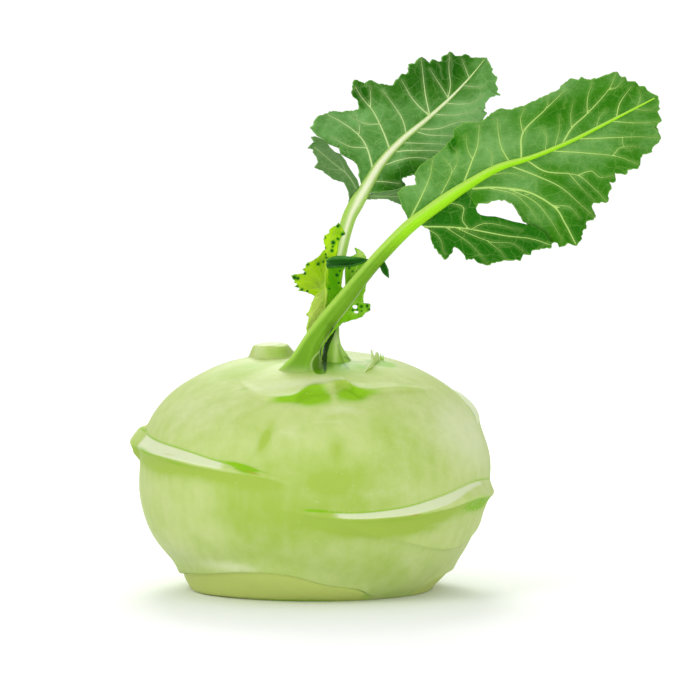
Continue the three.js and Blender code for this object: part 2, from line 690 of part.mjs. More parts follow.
const LEAFLET_RIGHT = {
  origin: [17.9, -17.6, 92],
  along: [0.42, -0.1, -0.9],
  normal: [-0.1, -1, 0.1],
  thickness: YOUNG_THICKNESS,
  step: 1.6,
  outline: [[-1, -0.6], [1.4, -0.9], [3.4, -0.9], [5.4, -0.3], [5.4, 0.3], [3.2, 0.8], [1.2, 0.8], [-1, 0.6]],
  height: (x, y) => 0.3 * Math.abs(y) + 0.03 * x * x,
};

// ---------------------------------------------------------------------------
// The pieces
// ---------------------------------------------------------------------------

const kohlrabi = new THREE.Group();

function addPiece(name, solid, color, roughness) {
  const material = new THREE.MeshStandardMaterial({ color, roughness, metalness: 0 });
  const mesh = new THREE.Mesh(toGeometry(mainBody(solid)), material);
  mesh.name = name;
  kohlrabi.add(mesh);
}

const flap = leafSheet(CROWN_FLAP);
const bulb = toSolid(bulbSurface(0)).add(flap);
const bulbClearance = toSolid(bulbSurface(GAP));
const frontStalk = stalkSolid(FRONT_STALK, FRONT_BLADE, 0).subtract(bulbClearance);
const frontClearance = stalkSolid(FRONT_STALK, FRONT_BLADE, GAP);
const backStalk = stalkSolid(BACK_STALK, BACK_BLADE, 0).subtract(bulbClearance);
const backClearance = stalkSolid(BACK_STALK, BACK_BLADE, GAP);

const backBlade = leafSheet(BACK_BLADE).add(leafSheet(BACK_EAR_LEFT)).add(leafSheet(BACK_EAR_RIGHT));
const leafletLeft = leafSheet(LEAFLET_LEFT).subtract(frontClearance);
const leafletRight = leafSheet(LEAFLET_RIGHT).subtract(frontClearance);
const youngLeft = leafSheet(YOUNG_LEFT).subtract(bulbClearance).subtract(frontClearance);
const youngRight = leafSheet(YOUNG_RIGHT).subtract(bulbClearance).subtract(backClearance);

addPiece('bulb', bulb, 0xbdd583, 0.4);
addPiece('front_leaf_stalk', frontStalk, 0x93c64f, 0.38);
addPiece('front_leaf_blade', leafSheet(FRONT_BLADE).subtract(frontClearance), 0x4b9a3a, 0.5);
addPiece('back_leaf_stalk', backStalk, 0xc6dd92, 0.42);
addPiece('back_leaf_blade', backBlade.subtract(backClearance), 0x3e8a3c, 0.5);
addPiece('young_leaf_left', youngLeft, 0xa4cf2a, 0.5);
addPiece('young_leaf_right', youngRight, 0x8cc63a, 0.5);
addPiece('stalk_leaflet_left', leafletLeft, 0x2c6a2a, 0.5);
addPiece('stalk_leaflet_right', leafletRight, 0x35762f, 0.5);

export default kohlrabi;
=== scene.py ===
"""A kohlrabi on a pale floor: the swollen stem, two grown leaves, two heart leaves and two stalk leaflets.

Sizes are given in millimetres in the part's own frame: +Z is up, -Y is the front, and the origin is the
centre of the flat cut root end. Meshes are made in metres. Azimuths are degrees round the bulb from the
front, positive towards +X.
"""

import logging
import math
from dataclasses import dataclass, field
from enum import Enum
from typing import Any, Callable, Optional, Sequence, Union

import bmesh
import bpy
import numpy as np
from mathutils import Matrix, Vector


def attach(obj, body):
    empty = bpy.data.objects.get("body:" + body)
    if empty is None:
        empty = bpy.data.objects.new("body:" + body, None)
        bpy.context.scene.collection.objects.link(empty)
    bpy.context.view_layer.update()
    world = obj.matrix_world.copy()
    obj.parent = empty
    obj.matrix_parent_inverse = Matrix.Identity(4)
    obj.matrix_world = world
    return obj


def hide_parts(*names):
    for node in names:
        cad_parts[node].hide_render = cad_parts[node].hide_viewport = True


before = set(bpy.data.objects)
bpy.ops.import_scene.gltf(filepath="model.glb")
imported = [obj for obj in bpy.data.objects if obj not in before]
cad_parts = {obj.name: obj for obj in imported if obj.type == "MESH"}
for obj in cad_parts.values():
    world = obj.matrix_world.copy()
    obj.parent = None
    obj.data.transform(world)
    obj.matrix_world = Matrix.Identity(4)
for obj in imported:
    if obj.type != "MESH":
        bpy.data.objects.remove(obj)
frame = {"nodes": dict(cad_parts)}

LOG = logging.getLogger("kohlrabi")
MM = 0.001
DEGREE = math.pi / 180
BODY = "root"

Array = np.ndarray
Color = tuple[float, float, float]
Row = tuple[float, ...]


# ---- Arithmetic on whole arrays ----


def smooth(value: Array) -> Array:
    """Smoothstep from 0 to 1: t * t * (3 - 2t), with t held between 0 and 1."""
    t = np.clip(value, 0, 1)
    return t * t * (3 - 2 * t)


def gaussian(value: Array) -> Array:
    """The bell exp(-value squared)."""
    return np.exp(-np.square(value))


def wrap_degrees(angle: Array) -> Array:
    """The same angle between -180 and 180 degrees."""
    return (angle + 180) % 360 - 180


def spline_at(rows: Union[Array, Sequence[Row]], x: Array) -> Array:
    """Catmull-Rom values at x of a table whose first column is x.

    Between two rows the value is a cubic Hermite curve whose slopes are those from the row before to the
    row after. Outside the table the end row holds.

    Args:
        rows: Table of n rows and k + 1 columns, with the first column rising.
        x: Places to read, of any shape.

    Returns:
        An array of x's shape with a last axis of length k.
    """
    table = np.asarray(rows, float)
    keys, values = table[:, 0], table[:, 1:]
    x = np.clip(x, keys[0], keys[-1])
    i = np.clip(np.searchsorted(keys, x, side="right") - 1, 0, len(keys) - 2)
    span = keys[i + 1] - keys[i]
    t = ((x - keys[i]) / span)[..., None]
    before, after = np.maximum(i - 1, 0), np.minimum(i + 2, len(keys) - 1)
    slope_in = (values[i + 1] - values[before]) * (span / (keys[i + 1] - keys[before]))[..., None]
    slope_out = (values[after] - values[i]) * (span / (keys[after] - keys[i]))[..., None]
    ease = t * t * (3 - 2 * t)
    t2, t3 = t * t, t * t * t
    held = values[i] * (1 - ease) + values[i + 1] * ease
    return held + slope_in * (t3 - 2 * t2 + t) + slope_out * (t3 - t2)


def chord_table(points: Array) -> Array:
    """Puts before each point its distance along the straight lines from the first."""
    steps = np.linalg.norm(np.diff(points, axis=0), axis=1)
    return np.column_stack([np.concatenate([[0], np.cumsum(steps)]), points])


def curve_through(points: Sequence[Row], count: int, roundness: float = 1.0) -> Array:
    """Points at even distances along a line through the given ones.

    The line is a mix of the Catmull-Rom curve and the straight polyline through the points.

    Args:
        points: The points passed through, of two or more numbers each.
        count: How many points come back.
        roundness: Share of the curve, 1 for round and 0 for straight lines.

    Returns:
        An array of count points.
    """
    table = chord_table(np.array(points, float))
    fine = np.linspace(0, table[-1, 0], 24 * len(table))
    curved = spline_at(table, fine)
    straight = np.column_stack([np.interp(fine, table[:, 0], column) for column in table[:, 1:].T])
    dense = chord_table(curved * roundness + straight * (1 - roundness))
    even = np.linspace(0, dense[-1, 0], count)
    return np.column_stack([np.interp(even, dense[:, 0], column) for column in dense[:, 1:].T])


def unit(vectors: Array) -> Array:
    """The same vectors at length one."""
    return vectors / np.linalg.norm(vectors, axis=-1, keepdims=True)


def ripples(points: Array, length: float) -> Array:
    """A smooth, patternless undulation between about -1 and 1.

    It is twice the mean of five sine waves whose directions and wavelengths share no common multiple.

    Args:
        points: Positions with a last axis of length 3, in millimetres.
        length: The wavelength of the middle wave, in millimetres.

    Returns:
        The undulation at each position.
    """
    waves = np.array([[1, 0.31, 0.17], [-0.42, 0.93, 0.55], [0.23, -0.61, 1.13], [0.87, 0.72, -0.64],
                      [-0.71, 0.26, -0.97]])
    phases = np.array([0.3, 2.1, 4.4, 1.2, 5.3])
    return np.sin(points @ waves.T * (2 * math.pi / length) + phases).mean(axis=-1) * 2


# ---- Meshes ----


@dataclass
class Surface:
    """A mesh in the making: points in millimetres, faces, and what the finish reads from it.

    Attributes:
        points: Positions, n by 3.
        quads: Corners of the four-sided faces, m by 4.
        triangles: Corners of the three-sided faces, k by 3.
        marks: Values at the points, by attribute name.
        flat: Positions on the flattened piece, n by 2, or None.
    """

    points: Array
    quads: Array
    triangles: Array = field(default_factory=lambda: np.zeros((0, 3), int))
    marks: dict[str, Array] = field(default_factory=dict)
    flat: Optional[Array] = None

    @staticmethod
    def grid_quads(rows: int, columns: int, wrap: bool = False) -> Array:
        """Faces of a grid stored row by row: each joins a point, the next in its row, and the two beyond.

        Args:
            rows: Number of rows of points.
            columns: Number of points in a row.
            wrap: Whether the last column joins the first.

        Returns:
            The faces' corners, four to a row.
        """
        across = columns if wrap else columns - 1
        row, column = np.meshgrid(np.arange(rows - 1), np.arange(across), indexing="ij")
        here = row * columns + column
        beside = row * columns + (column + 1) % columns
        return np.stack([here, beside, beside + columns, here + columns], axis=-1).reshape(-1, 4)

    @staticmethod
    def joined(surfaces: Sequence["Surface"]) -> "Surface":
        """One surface with the faces and marks of several.

        Args:
            surfaces: The surfaces, which share their mark names.

        Returns:
            Their points, faces and marks in order.
        """
        starts = np.cumsum([0] + [len(surface.points) for surface in surfaces[:-1]])
        return Surface(
            points=np.concatenate([surface.points for surface in surfaces]),
            quads=np.concatenate([s.quads + start for s, start in zip(surfaces, starts)]),
            triangles=np.concatenate([s.triangles + start for s, start in zip(surfaces, starts)]),
            marks={name: np.concatenate([s.marks[name] for s in surfaces]) for name in surfaces[0].marks},
            flat=None if surfaces[0].flat is None else np.concatenate([s.flat for s in surfaces]),
        )

    def to_object(self, name: str, material: bpy.types.Material, weld: float = 0.0) -> bpy.types.Object:
        """Makes the Blender object, smooth shaded, with its material.

        Args:
            name: Name of the object and its mesh.
            material: The finish of every face.
            weld: Distance in millimetres below which points become one, or 0.

        Returns:
            The object, linked to the scene.
        """
        mesh = bpy.data.meshes.new(name)
        corners = np.concatenate([self.quads.ravel(), self.triangles.ravel()]).astype(np.int32)
        sizes = np.concatenate([np.full(len(self.quads), 4), np.full(len(self.triangles), 3)])
        starts = np.concatenate([[0], np.cumsum(sizes)[:-1]]).astype(np.int32)
        mesh.vertices.add(len(self.points))
        mesh.vertices.foreach_set("co", (self.points * MM).astype(np.float32).ravel())
        mesh.loops.add(len(corners))
        mesh.loops.foreach_set("vertex_index", corners)
        mesh.polygons.add(len(sizes))
        mesh.polygons.foreach_set("loop_start", starts)
        mesh.polygons.foreach_set("loop_total", sizes.astype(np.int32))
        mesh.polygons.foreach_set("use_smooth", np.ones(len(sizes), bool))
        if self.flat is not None:
            layer = mesh.uv_layers.new(name="flat")
            layer.data.foreach_set("uv", self.flat[corners].astype(np.float32).ravel())
        for label, values in self.marks.items():
            kind = "FLOAT" if values.ndim == 1 else "FLOAT_VECTOR"
            attribute = mesh.attributes.new(label, kind, "POINT")
            key = "value" if values.ndim == 1 else "vector"
            attribute.data.foreach_set(key, values.astype(np.float32).ravel())
        mesh.update(calc_edges=True)
        mesh.validate()
        if weld > 0:
            shell = bmesh.new()
            shell.from_mesh(mesh)
            bmesh.ops.remove_doubles(shell, verts=shell.verts, dist=weld * MM)
            shell.to_mesh(mesh)
            shell.free()
        mesh.materials.append(material)
        piece = bpy.data.objects.new(name, mesh)
        bpy.context.scene.collection.objects.link(piece)
        return piece


def closed_tube(rings: Array, ends: Array, marks: dict[str, Array]) -> Surface:
    """A tube of rings, closed by a fan of triangles from a point at each end.

    Args:
        rings: Positions by ring and by place round it.
        ends: The two end points.
        marks: Values at the rings' points in order; an end point takes the first or the last one.

    Returns:
        The closed surface.
    """
    stations, sides = rings.shape[:2]
    count = stations * sides
    here = np.arange(sides)
    beside, last = np.roll(here, -1), count - sides
    triangles = np.concatenate([
        np.stack([np.full(sides, count), beside, here], axis=-1),
        np.stack([np.full(sides, count + 1), here + last, beside + last], axis=-1),
    ])
    capped = {name: np.concatenate([values, values[[0, -1]]]) for name, values in marks.items()}
    points = np.concatenate([rings.reshape(-1, 3), ends])
    return Surface(points, Surface.grid_quads(stations, sides, wrap=True), triangles, capped)


def stand_for(piece: bpy.types.Object, node: str) -> bpy.types.Object:
    """Lets a piece stand for a node of the frame, whose imported part is hidden.

    Args:
        piece: The piece.
        node: The node.

    Returns:
        The piece, riding on the part's one body.
    """
    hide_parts(node)
    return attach(piece, BODY)


# ---- Shader arithmetic ----


def shade(code: str) -> Color:
    """Linear colour of an sRGB code.

    Args:
        code: Six hexadecimal digits.

    Returns:
        Red, green and blue.
    """
    parts = [int(code[i:i + 2], 16) / 255 for i in (0, 2, 4)]
    linear = [c / 12.92 if c <= 0.04045 else ((c + 0.055) / 1.055) ** 2.4 for c in parts]
    return (linear[0], linear[1], linear[2])


class Wire:
    """An output socket whose values can be added, multiplied and so on in Python expressions."""

    def __init__(self, tree: "Shader", socket: bpy.types.NodeSocket) -> None:
        """Wraps a socket of a tree."""
        self.tree = tree
        self.socket = socket

    def maths(self, operation: str, *values: Any) -> "Wire":
        """A Math node of that operation on the given values, in order."""
        inputs = dict(enumerate(values))
        return self.tree.node("ShaderNodeMath", inputs, {"operation": operation}, 0)

    def __add__(self, other: Any) -> "Wire":
        """Sum."""
        return self.maths("ADD", self, other)

    __radd__ = __add__

    def __sub__(self, other: Any) -> "Wire":
        """Difference."""
        return self.maths("SUBTRACT", self, other)

    def __rsub__(self, other: Any) -> "Wire":
        """Reflected difference."""
        return self.maths("SUBTRACT", other, self)

    def __mul__(self, other: Any) -> "Wire":
        """Product."""
        return self.maths("MULTIPLY", self, other)

    __rmul__ = __mul__

    def __abs__(self) -> "Wire":
        """Absolute value."""
        return self.maths("ABSOLUTE", self)

    def ramp(self, start: float, end: float) -> "Wire":
        """Smoothstep between two values.

        Args:
            start: Where it is 0.
            end: Where it is 1, which may be the smaller.

        Returns:
            The ramp.
        """
        inputs = {"Value": self, "From Min": min(start, end), "From Max": max(start, end)}
        rising = self.tree.node("ShaderNodeMapRange", inputs, {"interpolation_type": "SMOOTHSTEP"}, "Result")
        return rising if start <= end else 1 - rising


class Shader:
    """A material's node tree, built around one Principled BSDF."""

    def __init__(self, name: str) -> None:
        """Starts an empty material.

        Args:
            name: Its name.
        """
        self.material = bpy.data.materials.new(name)
        self.material.use_nodes = True
        self.nodes = self.material.node_tree.nodes
        self.links = self.material.node_tree.links
        self.nodes.clear()
        self.surface = self.nodes.new("ShaderNodeBsdfPrincipled")
        output = self.nodes.new("ShaderNodeOutputMaterial")
        self.links.new(self.surface.outputs["BSDF"], output.inputs["Surface"])

    def put(self, target: bpy.types.NodeSocket, value: Any) -> None:
        """Links a wire to a socket, or sets the socket's own value.

        Args:
            target: The socket.
            value: A wire, a number, a vector, or the six-digit code of a colour.
        """
        if isinstance(value, Wire):
            self.links.new(value.socket, target)
        elif isinstance(value, str):
            target.default_value = (*shade(value), 1)
        else:
            target.default_value = value

    def node(self, kind: str, inputs: dict[Any, Any], settings: Optional[dict[str, Any]] = None,
             output: Any = None) -> Wire:
        """Adds any node.

        Args:
            kind: The node's type.
            inputs: Values or wires by socket name or index.
            settings: Properties of the node, set first.
            output: Name or index of the output that comes back, or the first.

        Returns:
            The chosen output as a wire.
        """
        made = self.nodes.new(kind)
        for key, value in (settings or {}).items():
            setattr(made, key, value)
        for key, value in inputs.items():
            self.put(made.inputs[key], value)
        return Wire(self, made.outputs[0 if output is None else output])

    def mix(self, share: Wire, first: Any, second: Any) -> Wire:
        """Colour between first and second by share."""
        settings = {"data_type": "RGBA", "clamp_factor": True}
        return self.node("ShaderNodeMix", {0: share, 6: first, 7: second}, settings, 2)

    def marked(self, color: Wire, **codes: str) -> Wire:
        """Lays colours over another in turn, each by the mark of its name.

        Args:
            color: The colour under them.
            codes: Colour codes by mark.

        Returns:
            The colour on top.
        """
        for name, code in codes.items():
            color = self.mix(self.mark(name), color, code)
        return color

    def mark(self, name: str, vector: bool = False) -> Wire:
        """A value that the mesh carries at its points."""
        settings = {"attribute_name": name}
        return self.node("ShaderNodeAttribute", {}, settings, "Vector" if vector else "Fac")

    def scaled(self, here: Wire, unit: float, scale: Row, turn: float) -> Wire:
        """Coordinates turned back by degrees and divided by a unit over each scale."""
        inputs = {"Vector": here, "Rotation": (0, 0, turn * DEGREE), "Scale": tuple(unit / s for s in scale)}
        return self.node("ShaderNodeMapping", inputs, {"vector_type": "TEXTURE"})

    def place(self, scale: Row = (1, 1, 1)) -> Wire:
        """The object's own coordinates in millimetres, scaled."""
        return self.scaled(self.node("ShaderNodeTexCoord", {}, {}, "Object"), MM, scale, 0)

    def flat(self, scale: Row = (1, 1, 1), turn: float = 0) -> Wire:
        """The piece's flattened coordinates in millimetres, turned back by degrees and then scaled."""
        return self.scaled(self.node("ShaderNodeUVMap", {}, {"uv_map": "flat"}), 1, scale, turn)

    def noise(self, where: Wire, size: float, detail: float = 2.0, roughness: float = 0.5) -> Wire:
        """Noise between 0 and 1 with lumps of about the given size."""
        inputs = {"Vector": where, "Scale": 1 / size, "Detail": detail, "Roughness": roughness}
        return self.node("ShaderNodeTexNoise", inputs, {}, "Fac")

    def cells(self, where: Wire, size: float, feature: str = "DISTANCE_TO_EDGE") -> Wire:
        """Voronoi distance in cells of about the given size."""
        inputs = {"Vector": where, "Scale": 1 / size}
        return self.node("ShaderNodeTexVoronoi", inputs, {"feature": feature}, "Distance")

    def finish(self, color: Wire, roughness: Any, height: Optional[Wire], depth: float,
               constants: dict[str, Any]) -> bpy.types.Material:
        """Connects the surface.

        Args:
            color: Base colour.
            roughness: Roughness, a number or a wire.
            height: Relief between 0 and 1, or None.
            depth: Depth of the relief in millimetres.
            constants: Values of the surface's other sockets.

        Returns:
            The finished material.
        """
        self.put(self.surface.inputs["Base Color"], color)
        self.put(self.surface.inputs["Roughness"], roughness)
        if height is not None:
            inputs = {"Height": height, "Distance": depth * MM, "Strength": 1}
            self.put(self.surface.inputs["Normal"], self.node("ShaderNodeBump", inputs))
        for name, value in constants.items():
            self.put(self.surface.inputs[name], value)
        return self.material


# ---- Finishes ----


@dataclass(frozen=True)
class SkinFinish:
    """The bulb's waxy skin: soft green mottling, pale scars, deep green that is partly painted shade in the
    hollows, painted shade in its creases, and a corky root end.
    """

    name: str = "waxy_skin"
    green: str = "96af47"
    pale_green: str = "b8c585"
    bloom: str = "c8d0a6"
    scar: str = "c6ceaa"
    deep: str = "7cad12"
    yellow: str = "b7c46d"
    rust: str = "9c9138"
    # Colour of the painted shade in the creases under the rims.
    crease: str = "5c7a1e"
    cork: str = "bfc08a"
    stalk: str = "6ea40c"
    # The next two colour the pale rim and painted highlight, and the painted shade, between the stalks' feet.
    stalk_pale: str = "8fb04a"
    slit_shade: str = "123c02"
    relief: float = 0.14

    def material(self) -> bpy.types.Material:
        """Builds the skin.

        The mesh marks its scars, its deep green and the painted shade in its hollows, the painted shade in
        its creases, and its bloom; noise breaks up their edges and adds streaks that run from the crown to
        the root, and pale breathing pores.

        Returns:
            The material.
        """
        tree = Shader(self.name)
        wide = tree.noise(tree.place(), 26, 3, 0.55)
        streak = tree.noise(tree.place((1, 1, 0.22)), 3.4, 4, 0.6)
        fine = tree.noise(tree.place(), 0.9, 3, 0.6)
        grain = tree.noise(tree.place(), 4.2, 5, 0.62)
        tone = (wide - 0.5) * 0.8 + (streak - 0.5) * 0.3 + (grain - 0.5) * 0.35 + tree.mark("tone")
        color = tree.mix(tone.ramp(0.1, 0.9), self.green, self.pale_green)
        ragged = (grain - 0.5) * 0.5 + (fine - 0.5) * 0.2
        # The deep green layer is partly painted shade in the hollows under the rims and in the shelves'
        # creases.
        # Each layer's mark, how ragged its edge is, where it starts and is full, and its share and colour.
        for mark, edge, start, full, share, code in (
                ("bloom", 0.6, 0.1, 1, 1, self.bloom), ("yellow", 0.4, 0.1, 1, 1, self.yellow),
                ("scar", 0.4, 0.12, 0.85, 0.92, self.scar), ("deep", 0.3, 0.06, 0.95, 0.97, self.deep),
                ("rust", 0.6, 0.15, 0.9, 0.7, self.rust)):
            color = tree.mix((tree.mark(mark) + ragged * edge).ramp(start, full) * share, color, code)
        speckle = tree.cells(tree.place(), 0.9, "F1").ramp(0.45, 0.2) * tree.mark("speckle")
        cork_tone = tree.mark("cork")
        color = tree.mix(speckle * 0.4, color, self.scar)
        color = tree.mix(cork_tone.ramp(0.2, 0.8), color, self.cork)
        pores = tree.cells(tree.place(), 2.6, "F1").ramp(0.13, 0.04) * tree.mark("scar").ramp(0.8, 0.2)
        color = tree.mix(pores * 0.22, color, self.bloom)
        # Painted shade in the creases under the rims.
        color = tree.mix((tree.mark("crease") + ragged * 0.5).ramp(0.15, 1) * 0.75, color, self.crease)
        # Stalk green at the feet, then their pale rim and painted highlight, then the painted shade between
        # them.
        color = tree.marked(color, stalk=self.stalk, pale=self.stalk_pale, shaded=self.slit_shade)
        roughness = 0.5 + (grain - 0.5) * 0.16 + tree.mark("scar") * 0.1 + cork_tone * 0.3
        height = fine * 0.25 + grain * 0.5 + streak * 0.35 + speckle * 0.8
        constants = {
            "Subsurface Weight": 0.22,
            "Subsurface Radius": (0.7, 1, 0.25),
            "Subsurface Scale": 4 * MM,
            "Specular IOR Level": 0.07,
        }
        return tree.finish(color, roughness, height, self.relief, constants)


@dataclass(frozen=True)
class StalkFinish:
    """A leaf stalk's smooth rind, with fine ribs along it, a painted highlight down one side and a paler
    foot.

    The light green begins light_start beyond the blade's foot and is full light_length farther on.
    """

    name: str
    body: str
    light: str
    dark: str
    foot: str
    # Colour of the painted highlight down one side.
    painted_highlight: str = "a0c850"
    # The next two colour the pale rim and painted highlight, and the painted shade, between the feet.
    rim: str = "adc07c"
    slit_shade: str = "0c3200"
    light_start: float = -12
    light_length: float = 30
    relief: float = 0.08

    def material(self) -> bpy.types.Material:
        """Builds the rind.

        Noise stretched along the stalk gives the ribs. The mesh marks how near the foot each place is,
        the painted highlight down one side, the painted shade of the hollow and creases between the feet,
        their pale rim and the painted highlight up the farther foot.

        Returns:
            The material.
        """
        tree = Shader(self.name)
        ribs = tree.noise(tree.mark("rind", vector=True), 0.9, 3, 0.6)
        blotch = tree.noise(tree.place(), 6, 3, 0.55)
        fine = tree.noise(tree.place(), 0.7)
        tone = 0.6 + (ribs - 0.5) * 0.7 + (blotch - 0.5) * 0.5
        color = tree.mix(tone.ramp(0.1, 0.9), self.dark, self.body)
        uneven = (ribs - 0.5) * 0.3
        color = tree.mix((tree.mark("light") + uneven).ramp(0.1, 0.95), color, self.light)
        # Painted highlight down one side of the stalk.
        color = tree.mix((tree.mark("painted_highlight") + uneven).ramp(0, 1), color, self.painted_highlight)
        # The paler foot, then the pale rim and painted highlight, then the painted shade between the feet.
        color = tree.marked(color, foot=self.foot, pale=self.rim, shaded=self.slit_shade)
        constants = {
            "Subsurface Weight": 0.2,
            "Subsurface Radius": (0.6, 1, 0.2),
            "Subsurface Scale": 0.7 * MM,
            "Specular IOR Level": 0.07,
        }
        roughness = 0.42 + (blotch - 0.5) * 0.12
        return tree.finish(color, roughness, ribs * 0.4 + fine * 0.2, self.relief, constants)


@dataclass(frozen=True)
class BladeFinish:
    """A leaf blade: green flesh with a waxy frost, pale veins, a fine net between them and a thin rim.

    A young leaf's teeth end in dark, bead-like glands.
    """

    name: str
    dark: str
    body: str
    frost: str
    vein: str
    rim: str
    frost_level: float = 0.25
    net_share: float = 0.26
    net_size: float = 3.4
    glands: Optional[str] = None
    relief: float = 0.1

    def material(self) -> bpy.types.Material:
        """Builds the blade.

        The mesh marks the distance to the nearest vein in millimetres, the same in half widths of that
        vein with the sign of its side, so that a thin vein stays unbroken between the mesh's points, the
        distance to the margin, and how deep the green is, which on the grown leaves also carries painted
        shade and painted highlight of their folds. Two sizes of Voronoi cells, bent by noise, give the net
        of small veins.

        Returns:
            The material.
        """
        tree = Shader(self.name)
        here = tree.flat()
        wide = tree.noise(here, 13, 3, 0.55)
        grain = tree.noise(here, 1.6, 4, 0.65)
        hatch = tree.noise(tree.flat((1, 0.16, 1), 62), 0.5)
        cloud = tree.noise(here, 8.5, 4, 0.6)
        warp = {"operation": "MULTIPLY_ADD"}
        swirl = tree.node("ShaderNodeTexNoise", {"Vector": here, "Scale": 0.3, "Detail": 1}, {}, "Color")
        bent = tree.node("ShaderNodeVectorMath", {0: swirl, 1: (2.2, 2.2, 0), 2: here}, warp)
        coarse = tree.cells(bent, self.net_size * 1.25).ramp(0.035, 0)
        close = tree.cells(bent, self.net_size * 0.5).ramp(0.06, 0)
        near, edge, depth = tree.mark("near"), tree.mark("edge"), tree.mark("depth")
        line = abs(tree.mark("side")).ramp(1.4, 0.6) * near.ramp(1, 0.6)
        fine = (grain - 0.5) * 0.6 + (hatch - 0.5) * 0.4
        # The depth mark darkens the flesh and thins the frost; on the grown leaves it also carries painted
        # shade and painted highlight.
        tone = 1 + (wide - 0.5) * 0.9 + fine - depth * 0.6
        frost = self.frost_level + (cloud - 0.5) * 1.1 + fine * 0.7 - depth * 0.6
        color = tree.mix(tone.ramp(0, 1), self.dark, self.body)
        color = tree.mix(frost.ramp(-0.1, 1) * 0.9, color, self.frost)
        color = tree.mix(near.ramp(1.2, 0.2) * 0.1, color, self.vein)
        color = tree.mix((coarse * 0.8 + close * 0.4) * self.net_share, color, self.vein)
        color = tree.mix(line * 0.9, color, self.vein)
        color = tree.mix(edge.ramp(0.34, 0.1) * 0.5, color, self.rim)
        if self.glands is not None:
            color = tree.mix(depth.ramp(1.9, 3), color, self.glands)
        roughness = 0.5 + (cloud - 0.5) * 0.2 - line * 0.06
        height = line * 0.9 + close * 0.2 + coarse * 0.3 + grain * 0.35 + hatch * 0.2
        return tree.finish(color, roughness, height, self.relief, {"Specular IOR Level": 0.03})


@dataclass(frozen=True)
class FloorFinish:
    """The pale studio floor."""

    name: str = "pale_floor"
    color: str = "eceeeb"
    pale: str = "eff1ee"

    def material(self) -> bpy.types.Material:
        """Builds the floor, with a faint unevenness.

        Returns:
            The material.
        """
        tree = Shader(self.name)
        color = tree.mix(tree.noise(tree.place(), 60), self.color, self.pale)
        return tree.finish(color, 0.8, None, 0, {"Specular IOR Level": 0.1})


# ---- Veins ----


@dataclass(frozen=True)
class Vein:
    """A vein or crease.

    Attributes:
        path: The places it runs through.
        width: Its half width at its root.
        taper: Share of its width that it loses on the way.
    """

    path: tuple[Row, ...]
    width: float
    taper: float = 0.8

    def reach(self, flat: Array) -> tuple[Array, Array]:
        """How far places lie from the vein.

        The distance to a chain of short segments is the least of the distances to each, and a segment's
        nearest point is the foot of the perpendicular, held between its ends.

        Args:
            flat: The places, n by 2.

        Returns:
            The distance in millimetres, and in the vein's half widths there, negative on its right.
        """
        line = curve_through(self.path, 5 * len(self.path))
        start, step = line[:-1], np.diff(line, axis=0)
        nearest, share, side = np.full(len(flat), 1e3), np.zeros(len(flat)), np.ones(len(flat))
        for i, (corner, run) in enumerate(zip(start, step)):
            away = flat - corner
            t = np.clip(away @ run / (run @ run), 0, 1)
            distance = np.linalg.norm(away - t[:, None] * run, axis=1)
            closer = distance < nearest
            nearest = np.where(closer, distance, nearest)
            share = np.where(closer, (i + t) / len(start), share)
            side = np.where(closer, np.where(run[0] * away[:, 1] > run[1] * away[:, 0], 1, -1), side)
        return nearest, side * nearest / (self.width * (1 - self.taper * share))


def veins(*rows: Row, taper: float = 0.8) -> tuple[Vein, ...]:
    """Veins of one taper, from rows of half width and then the x and y of each place in turn."""
    return tuple(Vein(tuple(zip(row[1::2], row[2::2])), row[0], taper) for row in rows)


# ---- The stalks' feet ----


